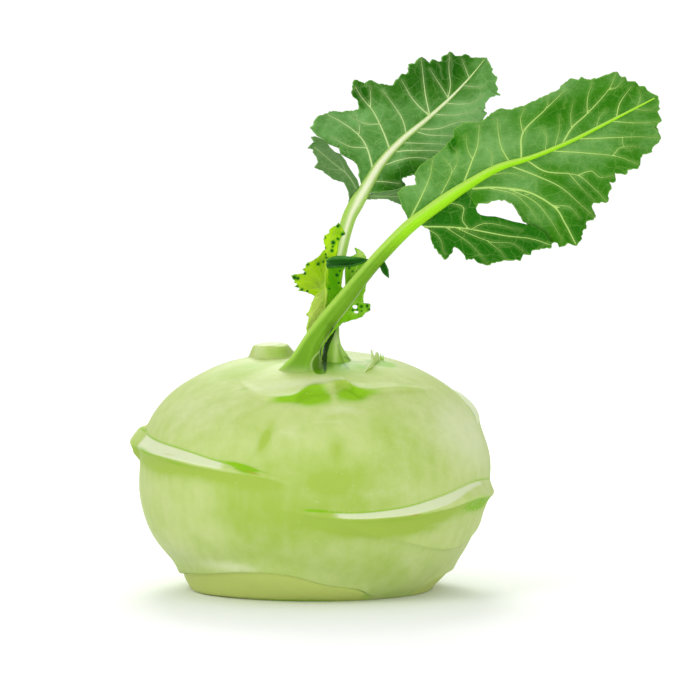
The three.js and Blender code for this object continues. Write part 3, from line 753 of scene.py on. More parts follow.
@dataclass(frozen=True)
class Feet:
    """Markings where the two stalks leave the crown, laid out as they look from in front: painted shade in
    the hollow, the slit and the creases between the feet, a pale rim round the hollow, and a painted
    highlight up the farther foot.

    The places are x and height in an upright plane, in which the eye sees them from 3.3 degrees above. The
    stalks and the crown share them, so their green runs on from one to the other.

    Attributes:
        fade: Rows of height and share of stalk green.
        spread: Rows of x and share of stalk green on the crown.
        panel: Rows of height, left and right x of the shaded hollow between the feet.
        slit_shade: The same of the slit in the hollow, where the painted shade is darkest.
        strip: The painted highlight up the middle of the farther foot.
        crease: Lines of painted shade in the creases beside it.
        plane: The plane's y.
        eye: Distance of the eye before the upright plane through the bulb's axis.
        aim: The x and height that the eye faces.
        upright: How much a height counts on the slightly tilted picture.
        toward: How much a step away from the eye counts on it, upwards.
        plane_rise: How much higher the aim lies on it than the same height in the plane does.
    """

    fade: tuple[Row, ...] = (
        (59.8, 0), (60.3, 0.08), (61.1, 0.36), (62, 0.64), (62.8, 0.84), (63.6, 0.96), (64.4, 1),
    )
    spread: tuple[Row, ...] = (
        (-8.8, 0), (-7.5, 0.3), (-5.8, 0.75), (-4.5, 1), (7.9, 1), (9.5, 0.5), (11.1, 0.3), (14.4, 0.12),
        (17.2, 0),
    )
    panel: tuple[Row, ...] = (
        (60.8, 0.7, 1.8), (61, 0.1, 2.7), (61.4, -0.3, 3), (62, -0.6, 3.2), (62.8, -0.8, 3.3),
        (63.6, -0.8, 3.3), (64.4, -0.6, 3.3), (65.2, -0.2, 3.3), (66.1, 0.5, 3.3), (66.9, 1.4, 3.3),
        (68, 2.2, 3.5), (70.2, 3.5, 4.2), (73.5, 4.8, 5.8),
    )
    slit_shade: tuple[Row, ...] = (
        (61.3, 2.4, 2.8), (61.7, 2.3, 3), (62.5, 2.1, 3.2), (63.6, 1.9, 3.2), (65.2, 1.5, 3.3),
        (66.9, 1.2, 3.5), (68, 1.5, 3.8), (68.8, 2, 4), (69.9, 2.8, 4.5), (71, 3.3, 5), (73.7, 4.6, 6.1),
    )
    strip: tuple[Row, ...] = ((5.8, 71.3), (5.7, 68.8), (5.6, 66.9), (5.5, 64.7), (5.4, 62.5), (5.3, 60.3))
    crease: tuple[tuple[Row, ...], ...] = (
        ((6.3, 68.8), (6.6, 67.4), (6.9, 66.1), (7.4, 64.7), (8.1, 63.3), (9, 62.4)),
        ((8.1, 65.5), (9.5, 64.8), (11.1, 64.5), (13.1, 64.3)),
    )

    plane: float = -18.0
    eye: float = 1200.0
    aim: tuple[float, float] = (9.5, 66.4)
    upright: float = 0.998
    toward: float = 0.0576
    plane_rise: float = 1.036

    def seen(self, points: Array) -> Array:
        """Where points appear in the plane to the eye, each moved to it along its line of sight.

        Args:
            points: The points.

        Returns:
            Their x and height in the plane.
        """
        x, y, z = np.moveaxis(points, -1, 0)
        middle, level = self.aim
        scale = (self.eye + self.plane) / (self.eye + y)
        rise = ((z - level) * self.upright + y * self.toward) * scale + self.plane_rise
        return np.stack([middle + (x - middle) * scale, level + rise / self.upright], axis=-1)

    @staticmethod
    def outside(rows: tuple[Row, ...], across: Array, up: Array) -> Array:
        """Distance outside an area, less than nothing inside it.

        Args:
            rows: The area's height, left and right limit, from the lowest row up.
            across: The places' x.
            up: Their heights.

        Returns:
            The distance of each place.
        """
        left, right = np.moveaxis(spline_at(rows, up), -1, 0)
        ends = np.maximum(rows[0][0] - up, up - rows[-1][0])
        return np.maximum(np.maximum(left - across, across - right), ends)

    def marks(self, points: Array, front: Array) -> dict[str, Array]:
        """The markings at some points.

        Args:
            points: The points, in millimetres.
            front: Share of the marking that each point takes, which is none behind the feet.

        Returns:
            By name: the share of stalk green, whether each point is in the hollow between the feet, how
            much painted shade it takes, and how pale its rim or bright the painted highlight of its strip is.
        """
        across, up = np.moveaxis(self.seen(points), -1, 0)
        fade = spline_at(self.fade, up)[..., 0]
        hollow, slit_shade = self.outside(self.panel, across, up), self.outside(self.slit_shade, across, up)
        inside = smooth((0.12 - hollow) / 0.3)
        # Painted shade: some in the hollow, most in the slit, and a painted shadow on the farther foot beside
        # the slit.
        shadow_beside_slit = smooth(1 - slit_shade / 2.4) * (across > 2.6) * smooth((up - 61.2) / 2.5)
        shaded = np.maximum(0.45 * inside, 0.97 * smooth((0.1 - slit_shade) / 0.3))
        flat = np.stack([across, up], axis=-1).reshape(-1, 2)
        low = (np.abs(flat[:, 0] - 4) < 14) & (np.abs(flat[:, 1] - 66) < 8)
        lines, strip = np.zeros(len(flat)), np.zeros(len(flat))
        # Painted shade along the creases beside the farther foot.
        for path in self.crease:
            lines[low] = np.maximum(lines[low], gaussian(Vein(path, 0.36, 0.1).reach(flat[low])[1]))
        # Painted highlight up the middle of the farther foot.
        strip[low] = gaussian(Vein(self.strip, 0.75, 0.1).reach(flat[low])[1])
        lines, strip = lines.reshape(up.shape), strip.reshape(up.shape) * smooth((up - 60.4) / 2)
        rim = gaussian((hollow - 0.32) / 0.24) * smooth((71 - up) / 2) * (across < 3.4)
        shaded = np.maximum(np.maximum(shaded, 0.36 * shadow_beside_slit), 0.42 * lines * (1 - rim))
        return {"fade": np.maximum(fade, inside), "inside": inside * front, "shaded": shaded * front,
                "pale": np.maximum(0.8 * rim, 0.6 * strip) * front}


FEET = Feet()


# ---- The bulb ----


@dataclass(frozen=True)
class Ledge:
    """A crescent ledge of the bulb, usually the scar of a fallen leaf.

    Attributes:
        azimuth: Direction of the apex, in degrees.
        fall: Distance over which the surface falls back below the rim.
        hollow: Share of the rise that the surface dips below its own level after the rim.
        rim: Rows of degrees from the apex, height of the rim, width of the shelf above it, and its rise.
        scar: How pale the shelf is.
        pale: Degrees from the apex between which the shelf is pale.
        lip: Rows of degrees from the apex and distance above the rim at which the pale band ends.
        line: How green the painted shade in the crease along the back of the shelf is.
        lively: How lively the green below the rim is, partly the skin's own and partly painted shade under
            the rim.
        crease: How dark the painted shade in the crease under the rim is.
        yellow: How yellow the skin is below the rim.
    """

    azimuth: float
    fall: float
    hollow: float
    rim: tuple[Row, ...]
    scar: float = 0.95
    pale: tuple[float, float] = (-180, 180)
    lip: tuple[Row, ...] = ((-180, 0), (180, 0))
    line: float = 0.7
    lively: float = 0.9
    crease: float = 0.0
    yellow: float = 0.0


LEDGES = (
    Ledge(-88, 7, 0.3, (
        (-85, 34, 0.5, 0), (-48, 39, 3, 1.8), (0, 40.2, 4.4, 1.8), (17, 40.4, 3.8, 2.1), (40, 40.2, 3.2, 1.9),
        (55, 39.4, 2.2, 1.2), (72, 38.3, 1, 0.5), (82, 36, 0.5, 0),
    ), pale=(6, 60)),
    Ledge(72, 8, 0.2, (
        (-84, 29.5, 0.6, 0), (-62, 26.3, 1.5, 1), (-44, 26.4, 2.1, 1.5), (-28, 27.4, 3.4, 1.9),
        (-12, 28.8, 4.2, 2.3), (0, 28, 4.6, 2.4), (20, 27.4, 3, 1.4), (50, 24, 0.6, 0),
    ), pale=(-68, 0), lip=((-40, 0), (-26, 0.6), (-12, 2), (0, 3))),
    Ledge(118, 7, 0.2, (
        (-40, 46, 0.5, 0), (-22, 48.4, 2.4, 1.7), (0, 51, 3.2, 2.8), (26, 49, 2.2, 1.7), (48, 45.5, 0.5, 0),
    )),
    Ledge(-148, 7, 0.2, (
        (-36, 50, 0.5, 0), (-18, 52.5, 2, 1.5), (0, 54, 3, 2.6), (20, 52, 2, 1.6), (38, 49, 0.5, 0),
    )),
    Ledge(168, 8, 0.2, (
        (-52, 24, 0.5, 0), (-28, 27, 2, 1.5), (0, 29, 3.4, 2.8), (30, 26.5, 2, 1.5), (58, 22.5, 0.5, 0),
    )),
    Ledge(-120, 6, 0.2, (
        (-44, 14, 0.5, 0), (-20, 17, 2, 1.3), (0, 18, 2.6, 1.8), (18, 16.5, 1.8, 0.8), (34, 14, 0.5, 0),
    )),
)

# The skin bulges over the flat, yellower band round the cut root end, with painted shade in the crease under
# the bulge.
COLLAR = Ledge(-20, 1.8, 0.9, (
    (-180, 4.4, 5, 0.6), (-120, 4, 5, 0.6), (-60, 4.8, 5, 0.9), (-42, 6.2, 5, 1), (-31, 7, 5, 1.1),
    (-13, 8.8, 5, 1.2), (0, 9.5, 5, 1.2), (8, 9.2, 5, 1.2), (15, 8.1, 5, 1.2), (20, 6.8, 5, 1.1),
    (26, 5.5, 5, 1), (32, 4.8, 5, 0.9), (40, 3.6, 4, 0.7), (45, 1.8, 3, 0.3), (52, 0.5, 3, 0.04),
    (68, 0.5, 3, 0.04), (74, 1.3, 3, 0.3), (79, 3.6, 4, 0.6), (84, 5.2, 4, 0.8), (100, 5.3, 4, 0.8),
    (130, 5, 5, 0.7), (180, 4.4, 5, 0.6),
), scar=0, line=0, lively=0, crease=1.3, yellow=1)

# The crown rim below the front leaf, with a deep hollow under its middle.
CROWN_RIM = Ledge(8, 4.6, 0.9, (
    (-58, 61.4, 0.5, 0), (-41, 59.2, 3, 0.35), (-33, 58.1, 4, 0.5), (-27, 58, 4, 0.6), (-21, 58.1, 4.5, 0.8),
    (-17, 58.5, 5, 1.1), (-13, 59.7, 5, 1.4), (-9.5, 60.2, 5, 1.4), (-2, 60.5, 5, 1.4), (7.5, 61.3, 5, 1.4),
    (11, 61, 5, 1.4), (13, 59.9, 5, 1.2), (20, 59.4, 5, 0.8), (30, 59.4, 4.6, 0.6), (39, 59.3, 4, 0.5),
    (51, 58.3, 2, 0.3), (66, 57.4, 0.5, 0),
), scar=0, line=0, lively=0.2)

# The faint heel crease below the right-hand scar, with painted shade along it.
HEEL = Ledge(58, 2.2, 0, (
    (-50, 25, 2, 0), (-42, 21.6, 3, 0.35), (-32, 19.7, 4, 0.45), (-16, 15.8, 5, 0.65), (-6, 14.4, 6, 0.8),
    (3, 14.2, 6, 0.8), (14, 15.6, 5, 0.7), (28, 18.6, 4, 0.4), (38, 21, 3, 0),
), scar=0, line=0, lively=0, crease=0.55)

# Broad swellings and flats: azimuth, height, amount, spread in degrees, spread in mm.
SWELLINGS = (
    (-90, 49, 1.1, 45, 10), (-90, 7, -1.2, 40, 6), (-75, 0, 2, 40, 3.5), (90, 15, -1.7, 42, 15),
    (150, 40, -1.1, 35, 14), (-160, 22, 0.9, 35, 14), (10, 44, 0.5, 26, 9), (-23, 39.7, -0.5, 6, 1.3),
    (66, 26.2, -0.5, 7, 1.5),
)

# The patch of pale speckles on the right-hand scar: azimuth, height, spread in degrees, spread in mm.
SPECKLES = (67, 26, 11, 2.6)

# Cut leaf stubs: azimuth, distance down from the pole, height, radius; and the flat share of that radius.
STUBS = ((-112, 14.2, 3.1, 6.2), (-113.5, 12.2, 2.9, 5.6), (-88, 57.6, 1.8, 5.4))
STUB_FLAT = 0.55


class Tone(Enum):
    """What a blotch of the skin is made of: one of its marks, or a livelier green."""

    DEEP = "deep"
    BLOOM = "bloom"
    SCAR = "scar"
    RUST = "rust"
    LIVELY = "lively"


# Blotches: azimuth, height, spread in degrees, spread in mm, tilt in mm a degree, amount.
BLOTCHES: dict[Tone, tuple[Row, ...]] = {
    # Deep blotches in the hollow under the crown rim, under the scars and in the dimples are partly painted
    # shade.
    Tone.DEEP: (
        (-2, 58.9, 6, 1.9, 0.08, 1.5), (19, 59.2, 6, 1.5, -0.03, 1.4), (7, 58.6, 8, 1.8, 0, 0.7),
        (9, 59.2, 1.7, 2.6, 0, -0.5), (-13, 58.1, 7, 0.7, 0.06, 1.1), (77, 63.75, 10, 0.8, 0, 1.9),
        (46, 64.1, 9, 0.7, 0, 0.75), (-84, 65.3, 30, 0.35, 0, 0.25), (-63, 63.5, 4, 0.6, 0, 0.7),
        (29, 59.2, 6, 0.6, 0, 0.6), (-38, 59.6, 5, 0.4, 0.1, 0.4), (52, 59.6, 12, 0.4, 0, 0.35),
        (-23, 39.9, 4.4, 1.1, -0.2, 1.3), (-27, 41.3, 6, 0.4, -0.13, 0.5), (0, 28.5, 4, 0.4, -0.03, 0.9),
        (65, 26.3, 8, 2, -0.03, 1.6), (72, 26, 3, 1.8, 0, 0.5), (-94, 39.6, 8, 3, 0, 0.75),
        (-71, 40.2, 9, 0.9, -0.02, 0.6), (-50, 39.4, 10, 0.8, -0.06, 0.45), (30, 25.2, 14, 0.8, 0.02, 0.35),
        (-43, 36.8, 2.6, 0.35, 0.3, 0.45), (-8, 0.3, 30, 0.5, 0, 0.7), (24, 1.4, 3, 1, 0, 0.5),
    ),
    Tone.LIVELY: (
        (-62, 62.6, 13, 1.6, 0, 0.8), (15, 61.3, 5, 0.6, 0, 0.7), (40, 63.9, 18, 1.2, 0, 0.5),
        (28, 23.2, 15, 2.6, 0, 0.8), (-62, 38.6, 14, 2.2, 0, 0.6), (8, 37.5, 12, 5, 0, 0.3),
        (4, 36.4, 5, 2.2, 0, 0.5), (-17.5, 48.2, 1.8, 2.6, 0.9, 0.6), (7, 46, 2.6, 3, 0, 0.35),
        (26, 46.8, 3, 5, 0, 0.12), (2, 42, 24, 5, 0, 0.2), (-27, 29, 9, 9, 0, 0.2), (-4, 27, 26, 8, 0, 0.3),
        (30, 12, 26, 6, 0, 0.15), (-52, 64.6, 5, 1.2, 0, 0.5), (180, 40, 24, 8, 0, 0.4),
    ),
    Tone.BLOOM: (
        (-100, 64.5, 14, 0.5, 0, 0.5), (-8, 61.6, 16, 1.2, 0, 0.5), (-28, 60.4, 14, 1.4, 0, 0.4),
        (-10, 20, 16, 6, 0, 0.2), (52, 48, 18, 9, 0, 0.35), (36, 12, 16, 5, 0, 0.35), (26, 42, 11, 6, 0, 0.3),
        (24, 33, 14, 3, 0, 0.3), (-52, 53, 28, 9, 0, 0.45), (72, 45, 22, 14, 0, 0.6),
        (-62, 12, 26, 7, 0, 0.5), (-30, 10.6, 14, 1.6, 0, 0.6), (-88, 24, 12, 9, 0, 0.45),
        (12, 55.6, 12, 1.6, 0, 0.5), (7, 52.8, 9, 0.6, 0, 0.3), (-8, 50, 6, 3, 0, 0.4),
        (7, 62.4, 12, 1.1, 0, 0.45), (78, 16, 16, 9, 0, 0.3), (46, 22.4, 12, 1.4, 0, 0.3),
        (150, 45, 40, 12, 0, 0.4), (-140, 30, 36, 12, 0, 0.35), (6, 2.2, 22, 0.7, -0.01, 0.7),
    ),
    Tone.RUST: (
        (-20, 38.9, 3.4, 0.4, -0.2, 0.8), (-54, 41.2, 5, 0.3, 0.03, 0.5), (33, 26.3, 2.6, 0.32, 0, 0.9),
    ),
    Tone.SCAR: ((61, 23.6, 6, 0.3, 0.12, 0.6),),
}


@dataclass
class Bulb:
    """The swollen stem that the leaves grow from.

    Its surface is a turned outline, lifted along its normal by the ledges, swellings and stubs, and leaned
    towards the front as it rises.
    """

    radius: float = 49.04
    widest_height: float = 30.0
    top_height: float = 65.6
    shoulder_power: float = 2.3
    underside_depth: float = 40.0
    lean: float = 6.0 * DEGREE
    crown_hollow: float = 1.5
    crown_hollow_radius: float = 13.0
    ripple_depth: float = 0.09
    ripple_length: float = 15.0
    columns: int = 396
    rows: int = 244
    skin: SkinFinish = field(default_factory=SkinFinish)

    def __post_init__(self) -> None:
        """Works out the half outline: a superellipse above the widest height, an ellipse below it."""
        root_angle = math.pi - math.acos(self.widest_height / self.underside_depth)
        angle = np.linspace(0, root_angle, 1601)
        upper = angle < math.pi / 2
        power = np.where(upper, 2 / self.shoulder_power, 1)
        depth = np.where(upper, self.top_height - self.widest_height, self.underside_depth)
        radius = self.radius * np.sin(angle) ** power
        height = self.widest_height + depth * np.sign(np.cos(angle)) * np.abs(np.cos(angle)) ** power
        self.outline = chord_table(np.column_stack([radius, height]))
        self.length = float(self.outline[-1, 0])

    def arc_at(self, height: Array) -> Array:
        """Distance from the pole along the outline at which it passes a height."""
        return np.interp(-np.asarray(height), -self.outline[:, 2], self.outline[:, 0])

    def bare(self, arc: Array) -> tuple[Array, Array, Array, Array]:
        """The outline at a distance from the pole.

        Args:
            arc: The distances.

        Returns:
            Its radius and height, and the outward and upward parts of its normal.
        """
        arcs, radii, heights = self.outline.T
        step = 0.2
        low, high = np.clip(arc - step, 0, self.length), np.clip(arc + step, 0, self.length)
        run = np.interp(high, arcs, radii) - np.interp(low, arcs, radii)
        drop = np.interp(low, arcs, heights) - np.interp(high, arcs, heights)
        size = np.hypot(run, drop)
        return np.interp(arc, arcs, radii), np.interp(arc, arcs, heights), drop / size, run / size

    def rim_of(self, ledge: Ledge, azimuth: Array) -> tuple[Array, Array, Array, Array]:
        """A ledge's rim at some azimuths.

        Args:
            ledge: The ledge.
            azimuth: The azimuths.

        Returns:
            Whether the ledge reaches them, and its rim's distance from the pole, shelf width and rise.
        """
        offset = wrap_degrees(azimuth - ledge.azimuth)
        inside = (offset >= ledge.rim[0][0]) & (offset <= ledge.rim[-1][0])
        height, shelf, rise = np.moveaxis(spline_at(ledge.rim, offset), -1, 0)
        return inside, self.arc_at(height), np.maximum(shelf, 0.4), np.where(inside, np.maximum(rise, 0), 0)

    def arcs_of(self, azimuth: Array, ledges: Sequence[Ledge]) -> Array:
        """Distances from the pole of every column's rows, closer together near the rims.

        Each column's distances split its length into equal shares of a density that has a bell round
        every rim.

        Args:
            azimuth: The columns' azimuths.
            ledges: The ledges.

        Returns:
            The distances, columns by rows.
        """
        samples = 480
        arc = (np.arange(samples) + 0.5) / samples * self.length
        density = np.ones((len(azimuth), len(arc)))
        for ledge in ledges:
            _, rim_arc, _, rise = self.rim_of(ledge, azimuth)
            density += 2.4 * np.minimum(rise, 1.5)[:, None] * gaussian((arc[None] - rim_arc[:, None]) / 2)
        total = np.concatenate([np.zeros((len(azimuth), 1)), np.cumsum(density, axis=1)], axis=1)
        shares = np.arange(1, self.rows + 1) / self.rows
        ends = np.linspace(0, self.length, samples + 1)
        return np.stack([np.interp(shares * row[-1], row, ends) for row in total])

    @staticmethod
    def lift_of(ledge: Ledge, below: Array, shelf: Array, rise: Array) -> Array:
        """Lift of a ledge: a ramp up its shelf, then a fall and a hollow below the rim.

        The mean of the lift at five places a quarter of a millimetre apart rounds the rim.

        Args:
            ledge: The ledge.
            below: Distance below the rim.
            shelf: Width of the shelf above it.
            rise: Height of the rim.

        Returns:
            The lift.
        """
        total = np.zeros(below.shape)
        for shift in (-0.5, -0.25, 0, 0.25, 0.5):
            place = below + shift
            ramp = rise * np.clip(1 + place / shelf, 0, 1) ** 1.4
            fallen = np.clip(place / ledge.fall, 0, 1)
            dip = ledge.hollow * rise * np.sin(math.pi * np.sqrt(fallen)) ** 2
            total += np.where(place < 0, ramp, rise * (1 - fallen) ** 2 - dip)
        return total / 5

    def leaned(self, points: Array) -> Array:
        """Leans the stem forwards as it rises, so the crown faces the front and the root end stays level.

        The lean grows evenly with the height, so a point moves forwards by half the top's height times the
        lean and the square of its own share of that height, and rises or sinks as its place turns.

        Args:
            points: The points.

        Returns:
            The same points, leaned.
        """
        x, y, z = np.moveaxis(points, -1, 0)
        grown = np.maximum(z, 0) / self.top_height
        shift = self.top_height * self.lean * grown * grown / 2
        return np.stack([x, y - shift, z + y * np.sin(self.lean * grown)], axis=-1)

    def at(self, azimuth: Array, arc: Array, lift: Array) -> Array:
        """Positions on the stem.

        Args:
            azimuth: Their azimuths.
            arc: Their distances from the pole.
            lift: How far each is raised along the outline's normal.

        Returns:
            The positions.
        """
        radius, height, outward, upward = self.bare(arc)
        settle = smooth((self.length - arc) / 2.5)
        reach = np.maximum(radius + outward * lift, 0)
        level = np.maximum(height + upward * lift * np.where(upward > 0, 1, settle), 0)
        angle = azimuth * DEGREE
        return self.leaned(np.stack([reach * np.sin(angle), -reach * np.cos(angle), level], axis=-1))

    def surface(self) -> Surface:
        """The closed skin with its marks.

        Returns:
            The skin: what the ledges, swellings, stubs and blotches add up to at each point.
        """
        ledges = (*LEDGES, COLLAR, CROWN_RIM, HEEL)
        turn = np.arange(self.columns) * 360 / self.columns - 180
        arc = self.arcs_of(turn, ledges)
        azimuth = np.broadcast_to(turn[:, None], arc.shape)
        radius, height, _, _ = self.bare(arc)
        marks = {name: np.zeros(arc.shape) for name in
                 ("deep", "bloom", "yellow", "scar", "rust", "tone", "speckle", "cork", "crease")}
        relief = np.zeros(arc.shape)
        for ledge in ledges:
            inside, rim_arc, shelf, rise = (part[:, None] for part in self.rim_of(ledge, turn))
            below = arc - rim_arc
            relief += np.where(inside, self.lift_of(ledge, below, shelf, rise), 0)
            strong = smooth(rise / 0.9)
            offset = wrap_degrees(azimuth - ledge.azimuth)
            lip = spline_at(ledge.lip, offset)[..., 0]
            pale = smooth((offset - ledge.pale[0]) / 6) * smooth((ledge.pale[1] - offset) / 6)
            on_shelf = smooth((below / shelf + 1) / 0.18) * smooth((0.3 - lip - below) / (0.5 + 0.5 * lip))
            marks["scar"] += ledge.scar * strong * pale * on_shelf
            # Below the rim the green is livelier, partly painted shade; the green line at the back of the
            # shelf and the dark line under the rim are painted shade.
            marks["tone"] -= 0.8 * ledge.lively * strong * smooth((below - 0.3) / 0.8) * gaussian(below / 3.6)
            marks["deep"] += ledge.line * strong * gaussian((below + shelf) / 0.32)
            marks["crease"] += ledge.crease * strong * gaussian((below - 0.35) / 0.3)
            marks["yellow"] += ledge.yellow * smooth(below - 0.2) * smooth((rise - 0.1) / 0.3)
        for centre, level, amount, degrees, spread in SWELLINGS:
            away = wrap_degrees(azimuth - centre) / degrees
            relief += amount * gaussian(away) * gaussian((height - level) / spread)
        relief *= smooth(arc / 6)
        stub = np.zeros(arc.shape)
        for centre, level, tall, reach in STUBS:
            round_about = wrap_degrees(azimuth - centre) * DEGREE * radius
            distance = np.hypot(round_about, arc - level) / reach
            stub = np.maximum(stub, tall * (1 - smooth((distance - STUB_FLAT) / (1 - STUB_FLAT))))
            marks["scar"] += 0.3 * smooth((0.62 - distance) / 0.2)
            marks["deep"] += 0.14 * gaussian((distance - 0.85) / 0.2)
        relief += stub
        for tone, rows in BLOTCHES.items():
            mark, sign = ("tone", -1) if tone is Tone.LIVELY else (tone.value, 1)
            for centre, level, degrees, spread, tilt, amount in rows:
                away = wrap_degrees(azimuth - centre)
                value = gaussian(away / degrees) * gaussian((height - level - tilt * away) / spread)
                marks[mark] += sign * amount * value
        centre, level, degrees, spread = SPECKLES
        away = wrap_degrees(azimuth - centre) / degrees
        marks["speckle"] += gaussian(away) * gaussian((height - level) / spread)
        marks["tone"] += 0.55
        relief -= self.crown_hollow * gaussian(arc / self.crown_hollow_radius)
        skin_points = self.at(azimuth, arc, relief)
        ripple = self.ripple_depth * ripples(skin_points, self.ripple_length)
        relief = relief + ripple * smooth(arc / 8) * smooth((self.length - arc) / 6)
        skin_points = self.at(azimuth, arc, relief)
        front = smooth((-7 - skin_points[..., 1]) / 3) * (height > 55)
        feet = FEET.marks(skin_points, front)
        spread = spline_at(FEET.spread, FEET.seen(skin_points)[..., 0])[..., 0]
        marks["stalk"] = np.maximum(feet["fade"] * spread * front, feet["inside"])
        # Painted shade of the hollow, slit and creases between the feet, and their pale rim and painted
        # highlight.
        marks["shaded"] = feet["shaded"] * smooth(spread / 0.3)
        marks["pale"] = feet["pale"] * feet["fade"] * spread
        pole = self.at(np.zeros(1), np.zeros(1), np.full(1, -self.crown_hollow))
        pole[:, :2] = 0
        return self.closed(pole, skin_points, marks)

    def closed(self, pole: Array, skin_points: Array, marks: dict[str, Array]) -> Surface:
        """Closes the skin with a pole at the crown and rings of cork across the cut root end.

        Args:
            pole: The pole, 1 by 3.
            skin_points: The skin's points, columns by rows by 3.
            marks: Their marks.

        Returns:
            The closed skin.
        """
        rings = np.array([0.97, 0.8, 0.45])
        last = skin_points[:, -1]
        cut = last[:, None] * np.stack([rings, rings, np.zeros(3)], axis=-1)[None]
        body = np.concatenate([skin_points, cut], axis=1)
        columns, rows = body.shape[:2]
        points = np.concatenate([body.reshape(-1, 3), pole, np.zeros((1, 3))])
        quads = Surface.grid_quads(columns, rows)
        wrap = np.arange(rows - 1)
        first, final = wrap, (columns - 1) * rows + wrap
        seam = np.stack([final, final + 1, first + 1, first], axis=-1)
        quads = np.concatenate([quads, seam])
        here = np.arange(columns) * rows
        beside = np.roll(here, -1)
        top, bottom = np.full(columns, columns * rows), np.full(columns, columns * rows + 1)
        triangles = np.concatenate([
            np.stack([top, here, beside], axis=-1),
            np.stack([bottom, beside + rows - 1, here + rows - 1], axis=-1),
        ])
        values = {}
        for name, mark in marks.items():
            under = np.ones((columns, 3)) if name == "cork" else np.zeros((columns, 3))
            ends = [0, 1] if name == "cork" else [0, 0]
            values[name] = np.concatenate([np.concatenate([mark, under], axis=1).ravel(), ends])
        return Surface(points, quads, triangles, values)

    def build(self) -> bpy.types.Object:
        """Makes the bulb."""
        return stand_for(self.surface().to_object("bulb_skin", self.skin.material()), "bulb")


# ---- Leaf sheets ----


@dataclass(frozen=True)
class LeafFrame:
    """A leaf's own frame: along runs to its tip, across to its left seen from the side it faces."""

    origin: Row
    along: Row
    normal: Row

    def axes(self) -> tuple[Array, Array, Array]:
        """The frame's directions.

        Returns:
            Unit vectors along, across and out of the leaf.
        """
        tipward = unit(np.array(self.along, float))
        facing = np.array(self.normal, float)
        facing = unit(facing - facing @ tipward * tipward)
        return tipward, np.cross(facing, tipward), facing

    def place(self, flat: Array, height: Array) -> Array:
        """Positions of places in the frame.

        Args:
            flat: The places, along and across.
            height: How far each is raised along the frame's normal.

        Returns:
            The positions.
        """
        tipward, across, facing = self.axes()
        lifted = flat[..., :1] * tipward + flat[..., 1:] * across + height[..., None] * facing
        return np.array(self.origin, float) + lifted


@dataclass(frozen=True)
class Margin:
    """A free edge of a sheet and its small teeth."""

    path: tuple[Row, ...]
    pitch: float = 2.4
    depth: float = 0.28
    roundness: float = 0.35

    def points(self, count: int) -> tuple[Array, Array]:
        """Even points along the edge.

        A tooth rises slowly over three quarters of its pitch and falls back sharply, and its depth swings
        by a sine from tooth to tooth.

        Args:
            count: How many points.

        Returns:
            The points, and how far each stands out as part of a tooth.
        """
        line = curve_through(self.path, count, self.roundness)
        travelled = chord_table(line)[:, 0]
        phase = travelled / self.pitch + 0.3 * np.sin(travelled * 0.83)
        part, number = phase % 1, np.floor(phase)
        saw = np.where(part < 0.75, part / 0.75, (1 - part) / 0.25) - 0.4
        ends = smooth(travelled / 1.5) * smooth((travelled[-1] - travelled) / 1.5)
        return line, self.depth * (1 + 0.7 * np.sin(2.1 * number + 0.6)) * saw * ends


@dataclass(frozen=True)
class Sheet:
    """One stretch of a blade, ruled with straight lines from an inner line to its margin.

    Attributes:
        inner: Points along the inner line, as many as the sheet has rows of faces plus one.
        margin: The free edge that the lines run out to.
        rows: Points along each line.
        lift: Height gained above the leaf's own surface between two places along it: the two places and
            the height.
        inner_free: Whether the inner line is a free edge too.
        depth: How deep its green is.
    """

    inner: Array
    margin: Margin
    rows: int = 44
    lift: Row = (0, 1, 0)
    inner_free: bool = False
    depth: float = 0.0

    def grid(self) -> tuple[Array, Array, Array]:
        """The sheet's places in the leaf's frame, row by row.

        Returns:
            The places, their distance to the margin, and their share of the way out to it.
        """
        edge, tooth = self.margin.points(len(self.inner))
        forward = unit(np.gradient(edge, axis=0))
        out = np.stack([-forward[:, 1], forward[:, 0]], axis=-1)
        middle = edge - self.inner
        out = out * np.sign((out * middle).sum(axis=1).sum())
        share = np.linspace(0, 1, self.rows)
        flat = self.inner[:, None] + share[None, :, None] * middle[:, None]
        flat = flat + (tooth[:, None] * share[None] ** 8)[..., None] * out[:, None]
        width = np.linalg.norm(middle, axis=1)[:, None]
        edge_distance = width * (1 - share[None])
        if self.inner_free:
            edge_distance = np.minimum(edge_distance, width * share[None])
        return flat, edge_distance, np.broadcast_to(share, flat.shape[:2])


